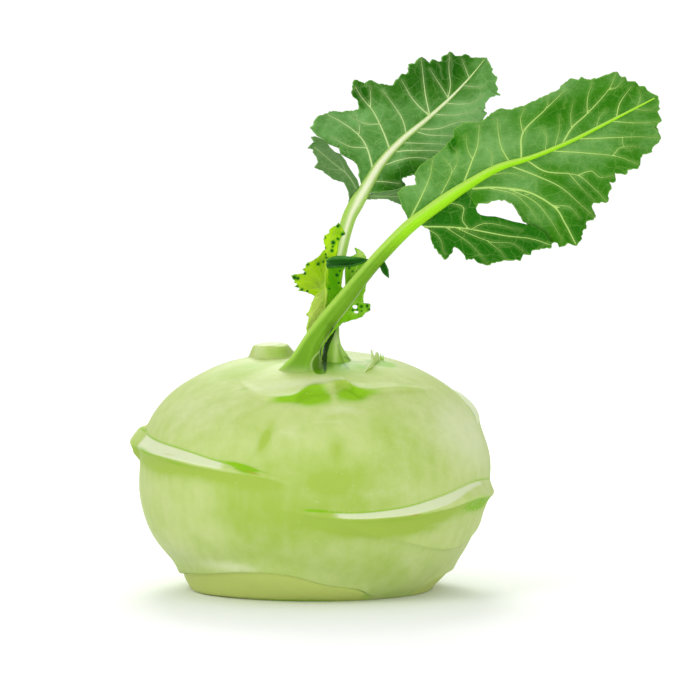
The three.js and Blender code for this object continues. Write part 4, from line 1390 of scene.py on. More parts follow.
@dataclass
class Leaf:
    """A leaf blade, or one of its ears, made of one or more sheets.

    Attributes:
        node: The frame's node that the piece stands for.
        height: Height of its middle surface at a place in the frame.
        quilting: How far the flesh between the veins bulges away from the side the leaf faces.
        crinkle: Depth of the small waves near the margin.
        holes: Centre and half sizes of each gap.
        patches: Places where the green is deeper, some of them painted shade and highlight of folds: centre,
            spreads along and across, turn in degrees, and how much deeper, less than nothing where it is
            frosted.
    """

    name: str
    node: str
    frame: LeafFrame
    sheets: Sequence[Sheet]
    height: Callable[[Array, Array], Array]
    veins: Sequence[Vein]
    finish: BladeFinish
    thickness: float = 0.45
    quilting: float = 0.4
    crinkle: float = 0.3
    holes: tuple[Row, ...] = ()
    patches: tuple[Row, ...] = ()

    def depth_at(self, flat: Array) -> Array:
        """How deep the green is: a sum of bells stretched along turned axes.

        Args:
            flat: The places, n by 2.

        Returns:
            The depth at each.
        """
        depth = np.zeros(len(flat))
        for x, y, along, across, turn, amount in self.patches:
            away = flat - (x, y)
            cosine, sine = math.cos(turn * DEGREE), math.sin(turn * DEGREE)
            u, v = away[:, 0] * cosine + away[:, 1] * sine, away[:, 1] * cosine - away[:, 0] * sine
            depth += amount * gaussian(u / along) * gaussian(v / across)
        return depth

    def vein_marks(self, flat: Array) -> tuple[Array, Array]:
        """How far places lie from the nearest vein.

        Args:
            flat: The places, n by 2.

        Returns:
            The distance in millimetres, and in that vein's half widths with its side's sign.
        """
        near, side = np.full(len(flat), 12.0), np.full(len(flat), 99.0)
        for vein in self.veins:
            distance, widths = vein.reach(flat)
            side = np.where(distance < near, widths, side)
            near = np.minimum(near, distance)
        return near, side

    def sheet_surface(self, sheet: Sheet) -> Surface:
        """One sheet's surface.

        Its height is the leaf's own wave, minus a quilting that grows with the distance from the veins,
        plus small waves that grow towards the margin.

        Args:
            sheet: The sheet.

        Returns:
            The surface with its marks.
        """
        flat, edge, share = sheet.grid()
        rows, columns = flat.shape[:2]
        places = flat.reshape(-1, 2)
        x, y = places.T
        near, side = self.vein_marks(places)
        outward = share.ravel()
        small = np.sin(1.7 * x + 0.9 * y) * 0.6 + np.sin(0.8 * x - 1.9 * y + 1) * 0.4
        start, end, gain = sheet.lift
        height = self.height(x, y) + gain * smooth((x - start) / (end - start))
        height = height - self.quilting * (1 - gaussian(near / 2.4)) * smooth(edge.ravel() / 2)
        height = height + self.crinkle * small * outward ** 3
        points = self.frame.place(places, height)
        quads = Surface.grid_quads(rows, columns)
        for x_hole, y_hole, half_length, half_width in self.holes:
            away = places[quads].mean(axis=1) - (x_hole, y_hole)
            quads = quads[np.hypot(away[:, 0] / half_length, away[:, 1] / half_width) > 1]
        sides = places[quads]
        first, second = sides[:, 1] - sides[:, 0], sides[:, 3] - sides[:, 0]
        turning = (first[:, 0] * second[:, 1] - first[:, 1] * second[:, 0]).sum()
        if turning < 0:
            quads = quads[:, ::-1]
        marks = {
            "near": np.minimum(near, 6),
            "side": np.clip(side, -99, 99),
            "edge": np.minimum(edge.ravel(), 6),
            "depth": sheet.depth + self.depth_at(places),
        }
        return Surface(points, quads, marks=marks, flat=places)

    def build(self) -> bpy.types.Object:
        """Makes the blade as a thin solid.

        Returns:
            The piece.
        """
        surface = Surface.joined([self.sheet_surface(sheet) for sheet in self.sheets])
        piece = surface.to_object(self.name, self.finish.material(), weld=0.02)
        wall = piece.modifiers.new("wall", "SOLIDIFY")
        wall.thickness = self.thickness * MM
        wall.offset = 0
        return stand_for(piece, self.node)


def midrib_line(midrib: Sequence[Row], start: float, end: float, step: float = 0.2) -> Array:
    """Places along a midrib.

    Args:
        midrib: Rows of place along the leaf and place across it.
        start: Where the first place is, along the leaf.
        end: Where the last one is.
        step: Distance between them.

    Returns:
        The places.
    """
    x = np.arange(round((end - start) / step) + 1) * step + start
    return np.column_stack([x, spline_at(midrib, x)[:, 0]])


@dataclass(frozen=True)
class BladeWave:
    """A blade's large wave: it leans and arches along its midrib, folds at it and ripples at its margins."""

    midrib: tuple[Row, ...]
    half_width: float
    lean: float
    arch: float
    fold_up: float
    fold_down: float
    wave: float
    wave_length: float

    def __call__(self, x: Array, y: Array) -> Array:
        """Height: lean x + arch (x / 60) squared + fold side to the power 1.3 + a sine that grows with side.

        Args:
            x: Places along the blade.
            y: Places across it.

        Returns:
            The height at each.
        """
        rib = spline_at(self.midrib, x)[..., 0]
        side = (y - rib) / self.half_width
        away = np.abs(side)
        fold = np.where(side > 0, self.fold_up, self.fold_down)
        phase = x / self.wave_length * 2 * math.pi + np.where(side > 0, 0, 2)
        bend = self.lean * x + self.arch * (x / 60) ** 2
        return bend + fold * away ** 1.3 + self.wave * away * np.sin(phase)


# ---- Stalks ----

# Height of the crown's skin 11 mm before the axis, and how much it rises with each millimetre backwards.
CROWN_LEVEL = 63.9
CROWN_SLOPE = 0.16


def rings_along(centre: Array, side: Row, across: Array, out: Array) -> Array:
    """Rings of points round a line, each square to it.

    Args:
        centre: Points along the line.
        side: Direction in which across is measured, before it is made square to the line.
        across: Distance of each ring's points along side.
        out: Their distance along the direction square to both.

    Returns:
        The points by ring and by place round it.
    """
    tangent = unit(np.gradient(centre, axis=0))
    hint = np.array(side, float)
    sideways = unit(hint - (tangent @ hint)[:, None] * tangent)
    facing = np.cross(tangent, sideways)
    return centre[:, None] + across[..., None] * sideways[:, None] + out[..., None] * facing[:, None]


@dataclass
class Stalk:
    """A leaf stalk that runs on as the midrib of its blade, whose frame, midrib and wave it knows.

    Attributes:
        rows: Below the blade: x, y, z, half width seen from the front, half thickness.
        rib: On the blade: place along it, half width, half thickness.
        side: Direction in which the half width is measured.
        stand: Share of its half thickness that the midrib stands off the blade.
        painted_highlight: Rows of height, place across the section from -1 to 1, spread and amount of the
            painted highlight down one side.
        rim_line: How pale the thin line along its right-hand edge is.
        rim_top: Height at which that line has faded.
        sides: Points round its section.
        stations: Sections along it.
    """

    name: str
    node: str
    rows: tuple[Row, ...]
    rib: tuple[Row, ...]
    side: Row
    stand: float
    leaf: LeafFrame
    midrib: tuple[Row, ...]
    wave: BladeWave
    finish: StalkFinish
    painted_highlight: tuple[Row, ...] = ((60, 0, 0.4, 0), (150, 0, 0.4, 0))
    rim_line: float = 0.0
    rim_top: float = 86.0
    sides: int = 72
    stations: int = 440

    def guide(self) -> Array:
        """The line that the stalk follows.

        Returns:
            Rows of x, y, z, half width and half thickness from the foot to the leaf's tip.
        """
        rib = np.array(self.rib, float)
        y = spline_at(self.midrib, rib[:, 0])[:, 0]
        height = self.wave(rib[:, 0], y) + self.stand * rib[:, 2]
        on_blade = self.leaf.place(np.column_stack([rib[:, 0], y]), height)
        return np.concatenate([np.array(self.rows, float), np.column_stack([on_blade, rib[:, 1:]])])

    def surface(self) -> Surface:
        """An oval section carried along the guide.

        The section is (half width cos t) along the side and (half thickness sin t) facing out, made
        slightly ribbed by a wave round it. The sections stand closer together near the foot.

        Returns:
            The closed stalk with its marks.
        """
        guide = self.guide()
        table = np.column_stack([chord_table(guide[:, :3])[:, 0], guide])
        share = np.linspace(0, 1, self.stations)
        travelled = table[-1, 0] * (0.4 * share + 0.6 * share ** 2.2)
        row = spline_at(table, travelled)
        centre, half_width, half_depth = row[:, :3], row[:, 3], row[:, 4]
        turn = np.arange(self.sides) / self.sides * 2 * math.pi
        cosine, sine = np.cos(turn)[None], np.sin(turn)[None]
        flare = smooth((half_width - 2.2) / 3)[:, None]
        ribbing = 1 + 0.018 * np.cos(9 * turn)[None] + 0.03 * flare * np.cos(5 * turn + 1)[None]
        across = half_width[:, None] * cosine * ribbing
        points = rings_along(centre, self.side, across, half_depth[:, None] * sine * ribbing)
        start = float(chord_table(np.array(self.rows, float)[:, :3])[-1, 0]) + self.finish.light_start
        light = smooth((travelled - start) / self.finish.light_length)
        x, y, z = np.moveaxis(points, -1, 0)
        front = smooth(centre[:, 1][:, None] - y + 0.5)
        feet = FEET.marks(points, front)
        above = z - CROWN_LEVEL - CROWN_SLOPE * (np.minimum(y, -6) + 11)
        green = front * feet["fade"] + (1 - front) * smooth((above + 1) / 4)
        # The painted highlight runs down one side of the stalk.
        middle, spread, amount = np.moveaxis(spline_at(self.painted_highlight, z), -1, 0)
        edge = gaussian((cosine - 0.95) / 0.07) * self.rim_line * smooth((self.rim_top - z) / 6)
        rind = np.broadcast_arrays(2.6 * cosine, 2.6 * sine, 0.05 * travelled[:, None])
        marks = {
            "foot": 1 - green,
            "light": np.broadcast_to(light[:, None], across.shape),
            "painted_highlight": amount * gaussian((cosine - middle) / spread),
            # Painted shade between the feet, and the pale rim and painted highlight there.
            "shaded": feet["shaded"],
            "pale": np.maximum(feet["pale"], edge),
        }
        marks = {name: values.ravel() for name, values in marks.items()}
        marks["rind"] = np.stack(rind, axis=-1).reshape(-1, 3)
        last = centre[-1] + unit(centre[-1] - centre[-2]) * half_width[-1] * 0.5
        return closed_tube(points, np.stack([centre[0], last]), marks)

    def build(self) -> bpy.types.Object:
        """Makes the stalk."""
        return stand_for(self.surface().to_object(self.name, self.finish.material()), self.node)


# ---- The front leaf ----

FRONT_FRAME = LeafFrame((25.3, -18, 101.4), (0.889, 0.026, 0.458), (0, -0.998, 0.058))
FRONT_MIDRIB = (
    (0, -0.4), (6, 0.7), (12, 1.6), (18, 2.3), (28, 2.8), (34, 2.4), (40, 0.9), (50, 0.2), (77.4, 0.2),
)
FRONT_WAVE = BladeWave(FRONT_MIDRIB, 18, 0.07, -7, -4, -2.6, 1.6, 21)

FRONT_UPPER = (
    (1.2, 1.2), (1.1, 5.4), (1.8, 9.5), (4.8, 9.9), (7.1, 9), (8.2, 11.7), (10.6, 13.2), (14.3, 13.5),
    (17.1, 14), (19.8, 15), (22.3, 16), (23.5, 17.8), (27.3, 17.8), (29.9, 16.4), (32.6, 16.4), (34.6, 17),
    (37.4, 17.1), (39.1, 15.7), (43.9, 14.7), (49.2, 14.5), (54.2, 14.4), (55.4, 15.1), (58.9, 15.5),
    (60.2, 14.3), (61.2, 14.6), (62.4, 13.2), (65.6, 12.1), (70.3, 11.6), (70.9, 9.4), (71.8, 9.1),
    (71.9, 7.7), (73.9, 6.7), (74, 5.3), (75.6, 4.2), (75.6, 3.1), (77.4, 0.2),
)
FRONT_LOWER = (
    (18.7, -4.4), (19.6, -3.5), (22.4, -4.4), (24.9, -4.9), (27, -6.1), (28.4, -7.8), (28.7, -9.9),
    (28.8, -11.5), (29, -13.6), (30.2, -17), (31.6, -20.4), (33, -22.2), (34, -22.3), (34.9, -24.4),
    (36.9, -24.3), (38.7, -26), (40.2, -25.2), (42.2, -22.9), (43, -23), (44.1, -21.4), (46.8, -21.5),
    (47.1, -18.8), (48, -17.6), (49.2, -18), (52, -19.2), (53.4, -16.8), (54.3, -16.2), (54.8, -14.6),
    (56.3, -15.3), (57.2, -12.8), (58.2, -13.9), (59.6, -14.9), (60.6, -14), (62.8, -14.6), (64.2, -14.5),
    (65.3, -12.5), (66.6, -12.1), (68, -12.6), (69.3, -12.1), (70, -11.4), (73, -10.4), (73.2, -7.3),
    (74.1, -6.1), (75.4, -6.2), (75.4, -3.7), (76.2, -3), (77.4, 0.2),
)
FRONT_LOBE_INNER = (
    (18.7, -4.4), (18.6, -5.5), (19.1, -6.5), (20.3, -7.5), (22.4, -8.7), (24.3, -10.4), (26.1, -12.1),
    (27.7, -13.3), (28.9, -14.3), (30.9, -15.7), (32, -17.7), (32.8, -18.9), (32.8, -20), (33.1, -22),
)
FRONT_LOBE = (
    (3.4, -1.6), (4.1, -2.7), (5, -4), (3.9, -6.4), (3.7, -8.2), (4.3, -10.7), (4.8, -12.9), (6.1, -12.5),
    (7.2, -12), (8.4, -10.7), (9.5, -11.8), (10, -13.4), (10.2, -15.6), (12, -16.1), (12.7, -17.8),
    (14.4, -19.4), (17.1, -19.9), (19, -20.5), (21.3, -21.4), (23.2, -22.5), (24.3, -21.4), (26.4, -22.2),
    (27.2, -21.7), (29.7, -22.2), (32.2, -23.2), (33.1, -22),
)
FRONT_VEINS = (
    *veins((0.23, 1.9, 1.7, 7.2, 5.6, 11.7, 9.4, 14.3, 12.9),
           (0.14, 12.2, 3.6, 16.7, 6.8, 17.9, 8.6, 17.2, 12), (0.09, 16.7, 6.8, 20, 9.2, 21.4, 12.6),
           (0.24, 18.4, 2.9, 22.8, 6.9, 27, 10.8, 29.9, 15.4), (0.11, 24, 8, 24.2, 11.4, 25.6, 14.6),
           (0.2, 32.6, 2.6, 32.6, 7.9, 35.1, 14.8), (0.26, 36.1, 2.4, 39.6, 8.1, 48, 11, 55.3, 13.3),
           (0.14, 39.6, 8.1, 40.8, 11.6, 43, 14), (0.1, 47.4, 10.8, 49.4, 12.2, 50.2, 14.2),
           (0.23, 48.3, 0.9, 52.3, 3.3, 57.8, 4.8, 66.3, 8.1, 70.1, 11.1),
           (0.14, 57.8, 4.8, 60, 8.6, 63.2, 11.8), (0.11, 52, 3.2, 53.6, 6.6, 56, 9.6),
           (0.11, 66, 8, 68.6, 7.6, 71.4, 9), (0.17, 64.6, 0.5, 67.1, 3.3, 72.4, 6.1),
           (0.09, 71, 0.2, 72.9, 2.2, 73.8, 4.6), (0.09, 58.2, 0.3, 60.4, 2.4, 63, 3.4),
           (0.09, 27.2, 3.2, 29, 6, 29.4, 8.6), (0.1, 42.6, 0.8, 44.6, 3.8, 45.4, 6.8),
           (0.09, 45.4, 0.6, 49, 4.6, 50.6, 7.8)),
    *veins((0.21, 3.4, -1.9, 12.7, -7.1, 22.6, -14.7, 28.7, -18.7, 32.4, -22.4), taper=0.55),
    *veins((0.1, 4, -2.6, 6.1, -6.6, 5.4, -11.4), (0.09, 9, -5, 13, -12.2, 14.6, -18.6),
           (0.11, 11.4, -6.4, 18.4, -14.4, 23.2, -17.4, 25.4, -21.6)),
    *veins((0.11, 14.6, -8.6, 14, -5.4, 15.8, -2.4, 12.4, 0.8), taper=0.2),
    *veins((0.1, 14.6, -8.6, 19.4, -9.2, 27, -15.2), (0.08, 17.4, -13.6, 19, -17, 19.6, -20.2)),
    *veins((0.29, 20.4, 0.9, 26.5, -1.9, 33.7, -7, 38.2, -14.2, 38.6, -18.8, 38.7, -25.6), taper=0.5),
    *veins((0.13, 24.6, -1.2, 29.8, -5.6, 31.8, -10.6, 32.4, -15),
           (0.14, 28.8, -3.2, 34, -10, 35.6, -16.8, 36, -22.6), (0.11, 38, -13.4, 41.6, -15.6, 42.8, -19.8),
           (0.2, 33, 1.1, 36.8, -3.1, 41.8, -9.5, 44.5, -15.9, 46.6, -21.3),
           (0.2, 37.2, 0.8, 40.2, -4, 47.6, -8.9, 50.2, -14.4, 51.7, -19),
           (0.11, 45.8, -7.8, 47, -12.4, 48.4, -16.8), (0.14, 47.6, -8.9, 51.6, -9.6, 53, -12.2, 57, -13.6),
           (0.18, 44.6, 0, 52.6, -4.6, 59.9, -9.5, 64, -14), (0.11, 58.6, -8.6, 61.6, -7.6, 66.4, -9.6),
           (0.17, 52.6, -0.3, 58.8, -3.2, 67.7, -7.3, 72.7, -10), (0.09, 63.4, -5.2, 62.6, -7.6, 64, -9.4),
           (0.14, 62.6, 0, 69.4, -3.9, 74.9, -6), (0.09, 70, 0.1, 72.6, -1.6, 75.4, -2.4),
           (0.11, 27, 1.8, 30.8, 0.4, 34.6, -2.8)),
)

FRONT_FLESH = BladeFinish("front_blade_flesh", dark="1c5e06", body="32700c", frost="729f5a", vein="a6c86a",
                          rim="84b84c", frost_level=0.3, net_share=0.14)
# Among these, the deep band on the shaded side of the upper half's fold is painted shade, and the frosted
# patches beside it are painted highlight.
FRONT_PATCHES = (
    (59, 6.8, 13, 3.4, -12, 0.75), (69, 5, 4.5, 3, 0, 0.5), (48, 9.3, 4.5, 3, 0, 0.5),
    (14, -1.8, 9, 2.2, 0, 0.9), (58, -12.4, 6, 3, 0, 0.6), (41, -22.5, 6, 5, 0, 1.2), (41, -8, 5, 5, 0, 0.6),
    (49, -15, 5, 3.5, -30, 0.7), (21.2, 14, 0.9, 1.7, -20, 3.2), (32, 8.5, 8, 5, 0, -0.6),
    (70, -2, 8, 10, 0, 0.1), (16, -16, 12, 6, 0, 0.8), (50, -2.2, 11, 2.2, 0, -0.5),
    (55, 14.6, 6, 1.8, 0, -0.7), (8, 8.2, 5, 5, 0, -0.5), (32, -5.2, 5, 3, 0, -0.4), (19, 8, 5, 4, 0, -0.2),
    (24, 14.5, 5, 2, 0, 0.3), (74, -4, 2, 5, 0, 0.3),
)
FRONT_RIND = StalkFinish("front_stalk_rind", body="6b9a20", light="8fcc18", dark="578413", foot="aabb75")


def front_leaf() -> tuple[Leaf, Stalk]:
    """The larger, nearer leaf.

    Returns:
        Its blade, made of two halves and a folded basal lobe, and its stalk.
    """
    rows, tip, lobe_end = 40, 77.4, 18.6
    foot = spline_at(FRONT_MIDRIB, np.array([lobe_end]))[0]
    shared = np.linspace((lobe_end, foot[0]), FRONT_LOWER[0], rows)
    lobe_inner = np.concatenate([
        midrib_line(FRONT_MIDRIB, 3.4, lobe_end),
        shared[1:-1],
        curve_through(FRONT_LOBE_INNER, 90, 0.4),
    ])
    sheets = (
        Sheet(midrib_line(FRONT_MIDRIB, 0, tip), Margin(FRONT_UPPER, 2.3, 0.22), rows),
        Sheet(midrib_line(FRONT_MIDRIB, lobe_end, tip), Margin(FRONT_LOWER, 2.3, 0.36), rows),
        Sheet(lobe_inner, Margin(FRONT_LOBE, 2.2, 0.3), rows, lift=(20, 30, 1.3), depth=1.5),
    )
    blade = Leaf("front_blade", "front_leaf_blade", FRONT_FRAME, sheets, FRONT_WAVE,
                 FRONT_VEINS, FRONT_FLESH, patches=FRONT_PATCHES)
    stalk = Stalk(
        "front_stalk", "front_leaf_stalk",
        rows=(
            (-6, -17, 56.5, 7.2, 5.8), (-3.2, -17.8, 62.5, 5, 4.4), (-0.9, -18, 69.2, 2.9, 2.9),
            (2.8, -18, 74.8, 2.6, 2.7), (8, -18, 81.3, 2.4, 2.5), (13.3, -18, 88, 2, 2.2),
            (18.8, -18, 94.3, 1.9, 2),
        ),
        rib=(
            (0, 1.85, 1.9), (6, 1.75, 1.8), (12, 1.7, 1.7), (18, 1.45, 1.5), (29, 1.08, 1.1), (39, 0.7, 0.9),
            (50, 0.56, 0.75), (60, 0.45, 0.55), (70, 0.32, 0.42), (76.4, 0.2, 0.3),
        ),
        side=(0.7, 0, -0.7), stand=0.3, leaf=FRONT_FRAME, midrib=FRONT_MIDRIB, wave=FRONT_WAVE,
        finish=FRONT_RIND, rim_line=0.55,
        # Painted highlight along the upper left side.
        painted_highlight=(
            (62, -1, 0.2, 0.8), (68, -0.95, 0.3, 0.8), (76, -0.85, 0.4, 0.75), (90, -0.8, 0.44, 0.85),
            (100, -0.7, 0.46, 1), (150, -0.5, 0.6, 1),
        ),
    )
    return blade, stalk


# ---- The back leaf ----

BACK_FRAME = LeafFrame((12.9, 12, 110.53), (0.683, 0.042, 0.73), (0, -0.998, 0.058))
BACK_MIDRIB = ((0, -0.6), (5, 0.9), (10, 1.4), (15, 1.6), (20, 1.4), (29, 0.3), (41, -0.3), (52, 0.3))
BACK_WAVE = BladeWave(BACK_MIDRIB, 18, -0.27, -1, 4.2, 3.4, 1.4, 17)

BACK_LEFT = (
    (0.8, 1), (2.7, 3.7), (3.3, 4.2), (4.4, 6.3), (4.7, 8.1), (3.2, 11.4), (4.3, 12.6), (4.3, 14.3),
    (3, 15.4), (2.9, 17.2), (2.5, 19.9), (2.5, 21.5), (2.9, 22.4), (4, 22.1), (5.1, 22.9), (6.8, 22.9),
    (8.5, 21.9), (10.5, 21.2), (11.9, 19.4), (14.7, 17), (16, 16.4), (17, 17), (17.4, 18.2), (17.7, 20.8),
    (19, 21.4), (20.1, 22.5), (21.1, 22.4), (21.9, 21.1), (22.1, 20), (21.5, 18.7), (23, 19.9), (24.1, 19.5),
    (24.4, 17.8), (25.8, 16), (27.3, 14.1), (28.9, 14.1), (30.7, 14.4), (31.6, 14.3), (32.7, 13.3),
    (33.7, 13.6), (34.9, 14.8), (36.1, 13.8), (37.3, 13.9), (39, 13.7), (38.8, 12.3), (39.2, 10.8),
    (40.5, 11), (41.1, 10.3), (41.5, 8.9), (42.1, 8.7), (43.4, 9.6), (44.4, 9), (45.7, 8.9), (45.8, 7.5),
    (46.8, 5.9), (48.6, 5.3), (48.5, 4.1), (49.1, 2.9), (50.5, 1.7), (51.8, 0.3),
)
BACK_RIGHT = (
    (0.6, -1.6), (1.4, -2.6), (6, -6.6), (9.4, -8), (9.7, -5.8), (13.2, -7.6), (14.6, -12), (18.4, -16.2),
    (24, -18.2), (29, -16.8), (33, -13.6), (37.7, -11.3), (39.3, -10.8), (40.3, -10.7), (39.9, -9.2),
    (41, -9.3), (42.1, -8.3), (43.7, -8.3), (45.4, -8.8), (46.7, -9.9), (46.4, -8.8), (47.4, -8.4),
    (47.7, -7.1), (49.6, -5.9), (49.8, -3.9), (50.8, -3), (51.2, -1.3), (51.8, 0.3),
)
BACK_VEINS = veins(
    (0.27, 6, 1.4, 8.9, 5.9, 10.3, 9.3, 10.5, 13.5, 9.8, 17.5, 8.6, 21.5),
    (0.14, 9.4, 7.4, 6.4, 11, 4.8, 16.4), (0.11, 10.4, 11, 13, 13.4, 14.2, 16.4),
    (0.24, 13.4, 1.6, 16.1, 7, 18.4, 13.2, 18.8, 17.2, 19.7, 21), (0.12, 17, 9.2, 14.4, 12, 12.8, 16.6),
    (0.11, 18.6, 14.2, 21, 16.4, 22.8, 18.8), (0.17, 19.6, 1.2, 22.3, 5.3, 23.6, 10.4, 24.3, 15.2),
    (0.19, 28.4, 0.4, 31.9, 5.4, 35.5, 9.7, 38.4, 13.2), (0.19, 28.4, 0.4, 28.5, 6.8, 30.3, 13.1),
    (0.15, 35.6, 0.2, 38.9, 2.3, 41.9, 5.7, 45.3, 8.6), (0.12, 35.8, 0.2, 37, 4.9, 38.1, 9.6),
    (0.11, 44.2, 0, 45.4, 2.5, 46.6, 4.9), (0.16, 9.5, 0.2, 13.3, -1.8, 16.6, -4.3, 18.9, -7.3, 21, -12),
    (0.17, 14.5, 0.4, 16.8, -1.6, 22.9, -8.3, 25.6, -13),
    (0.12, 18, 0.4, 20.9, -2.9, 25.1, -7.7, 28.4, -12.4),
    (0.14, 22.7, 0, 24.2, -2.9, 27.9, -7.1, 31, -11.6),
    (0.15, 23.8, 0, 27.6, -3.8, 33.1, -6.9, 36.2, -10.4),
    (0.12, 29.7, -0.2, 33.5, -4.5, 36.3, -6.5, 39, -8.6),
    (0.12, 34.1, -0.2, 36.8, -3.4, 39.4, -5.6, 43.5, -6.4), (0.09, 41.3, -0.4, 43.8, -3.5, 45.6, -4.9),
    (0.16, 3, 0.4, 6, -3, 8.6, -6.6),
)
EAR_LEFT_VEINS = (
    *veins((0.23, -0.8, 1.6, 0.2, 6, -0.2, 11.6, -0.6, 17.6), taper=0.4),
    *veins((0.12, 0.2, 6.4, 1.8, 10.4, 2, 14.6), (0.12, 0, 8, -2.2, 11, -3, 13.4)),
)
EAR_RIGHT_VEINS = (
    *veins((0.18, -0.4, -2, 4.4, -7.6, 9, -12.6), taper=0.4),
    *veins((0.11, 3, -6, 7, -8)),
)
EAR_LEFT_INNER = (
    (-5.4, -1), (-2, -0.4), (-0.4, 0.6), (1.1, 3), (1.4, 4.5), (2.2, 7.8), (2.7, 8.9), (3, 11.4), (2.4, 12.8),
    (2.4, 14.8), (2.9, 16.7), (1.7, 19.7), (0.9, 20.2),
)
EAR_LEFT_OUTER = (
    (-5.6, 0.2), (-4.4, 0.9), (-3.4, 1.9), (-2.5, 3.7), (-2, 5.5), (-3.4, 7.8), (-3.8, 12), (-4.6, 14),
    (-3.2, 13.9), (-2.1, 15.4), (-2, 17), (-1.3, 17.4), (-2, 18.8), (-0.4, 18.8), (0.1, 18), (0.9, 20.2),
)
EAR_RIGHT_INNER = ((-0.8, -1.2), (1.4, -2.8), (6.1, -6.5), (11, -9.8), (12.4, -12.6))
EAR_RIGHT_OUTER = (
    (-1, -2.6), (0.8, -4.4), (2.8, -6.6), (4.6, -11.2), (6.6, -14.6), (10, -15.4), (12.4, -12.6),
)

BACK_FLESH = BladeFinish("back_blade_flesh", dark="1b5605", body="346e12", frost="74a660", vein="c0d894",
                         rim="80b45c", frost_level=0.42, net_share=0.14)
EAR_FLESH = BladeFinish("ear_flesh", dark="204c14", body="396a24", frost="6b885a", vein="84a268",
                        rim="739f52", frost_level=0.45)
# Among these, the deep patches near the foot of the right half, beside the ear, are painted shadow.
BACK_PATCHES = (
    (44, 5.6, 6, 3.6, 0, 1.3), (35, 11, 8, 4.6, 0, 1), (28, 13, 4, 3, 0, 0.3), (19.6, 18.8, 3.6, 3.6, 0, 1.5),
    (11, -6.6, 5.5, 3.6, 0, 1.6), (5, -4, 4, 2.5, 0, 0.8), (36, -8, 6, 5, 0, -0.7), (28, -9, 5, 4, 0, -0.3),
    (5, 18, 4, 4, 0, -0.3), (35, -4, 4.5, 3, 0, -0.5), (41, -8.5, 4, 3.5, 0, -0.6), (13, 15, 5, 2.5, 0, -0.4),
    (38, 4, 9, 8, 0, 0.5), (4, 9, 3, 3, 0, 0.4),
)
# Its whitish gleam colour is the painted highlight down the stalk's middle.
BACK_RIND = StalkFinish("back_stalk_rind", body="94c044", light="98bd52", dark="80b030", foot="b4c67c",
                        painted_highlight="dadfbc", rim="b9cf86", light_start=-30, light_length=24)


def ear_left_height(x: Array, y: Array) -> Array:
    """The left ear folds forwards: 0.42 y - 0.5 x - 0.1 (x - 0.5) squared + 0.4 sin(y / 2)."""
    return 0.42 * y - 0.5 * x - 0.1 * (x - 0.5) ** 2 + 0.4 * np.sin(y / 2)


def ear_right_height(x: Array, y: Array) -> Array:
    """The right ear folds forwards: -0.4 (y + 1.6) - 0.3 x + 0.4 sin(y / 2)."""
    return -0.4 * (y + 1.6) - 0.3 * x + 0.4 * np.sin(y / 2)


def ear(name: str, inner: Sequence[Row], outer: tuple[Row, ...], columns: int, rows: int, roundness: float,
        height: Callable[[Array, Array], Array], creases: Sequence[Vein]) -> Leaf:
    """One of the farther blade's ears, a folded strip between two free edges.

    Args:
        name: The piece's name.
        inner: Places on its inner edge.
        outer: Places on its outer edge.
        columns: Points along each edge.
        rows: Points from edge to edge.
        roundness: How round the inner edge is.
        height: Its height at a place.
        creases: Its veins and creases.

    Returns:
        The ear.
    """
    strip = Sheet(curve_through(inner, columns, roundness), Margin(outer, 1.8, 0.14), rows, inner_free=True)
    return Leaf(name, "back_leaf_blade", BACK_FRAME, (strip,), height, creases, EAR_FLESH, crinkle=0.15)


def back_leaf() -> tuple[Leaf, Leaf, Leaf, Stalk]:
    """The farther leaf.

    Returns:
        Its blade, made of two halves, the two ears below it, and its stalk.
    """
    foot, tip = 0.6, 51.8
    sheets = (
        Sheet(midrib_line(BACK_MIDRIB, foot, tip), Margin(BACK_LEFT, 1.9, 0.32), 46),
        Sheet(midrib_line(BACK_MIDRIB, foot, tip), Margin(BACK_RIGHT, 1.9, 0.32), 40),
    )
    blade = Leaf("back_blade", "back_leaf_blade", BACK_FRAME, sheets, BACK_WAVE,
                 BACK_VEINS, BACK_FLESH, patches=BACK_PATCHES)
    ear_left = ear("back_ear_left", EAR_LEFT_INNER, EAR_LEFT_OUTER, 120, 34, 0.5, ear_left_height,
                   EAR_LEFT_VEINS)
    ear_right = ear("back_ear_right", EAR_RIGHT_INNER, EAR_RIGHT_OUTER, 90, 30, 0.6, ear_right_height,
                    EAR_RIGHT_VEINS)
    stalk = Stalk(
        "back_stalk", "back_leaf_stalk",
        rows=(
            (7.4, -9, 57, 6.2, 6), (5.8, -7, 62.5, 4.3, 4.4), (4.55, -3.8, 67.5, 2.5, 3),
            (4.35, 0.4, 74.4, 2.15, 2.4), (5, 3.8, 84.2, 2.1, 2.2), (6.7, 6.2, 93.7, 1.95, 2),
            (9.1, 8.8, 102.6, 1.95, 1.8), (11.35, 10.5, 107, 2.05, 1.7),
        ),
        rib=(
            (0.5, 1.75, 1.5), (9, 1.35, 1.2), (18, 1.02, 0.9), (27, 0.72, 0.65), (36, 0.48, 0.5),
            (44, 0.27, 0.4), (51, 0.13, 0.3),
        ),
        side=(0.9, 0, -0.4), stand=0.15, leaf=BACK_FRAME, midrib=BACK_MIDRIB, wave=BACK_WAVE,
        finish=BACK_RIND,
        # Painted highlight down the middle, strongest on the blade.
        painted_highlight=(
            (64, 0.2, 0.3, 0), (72, 0.1, 0.35, 0.4), (90, 0, 0.4, 0.6), (104, 0.1, 0.42, 0.9),
            (112, 0, 0.6, 1), (138, 0, 0.7, 1), (146, 0, 0.6, 0.5),
        ),
    )
    return blade, ear_left, ear_right, stalk


# ---- Heart leaves and stalk leaflets ----

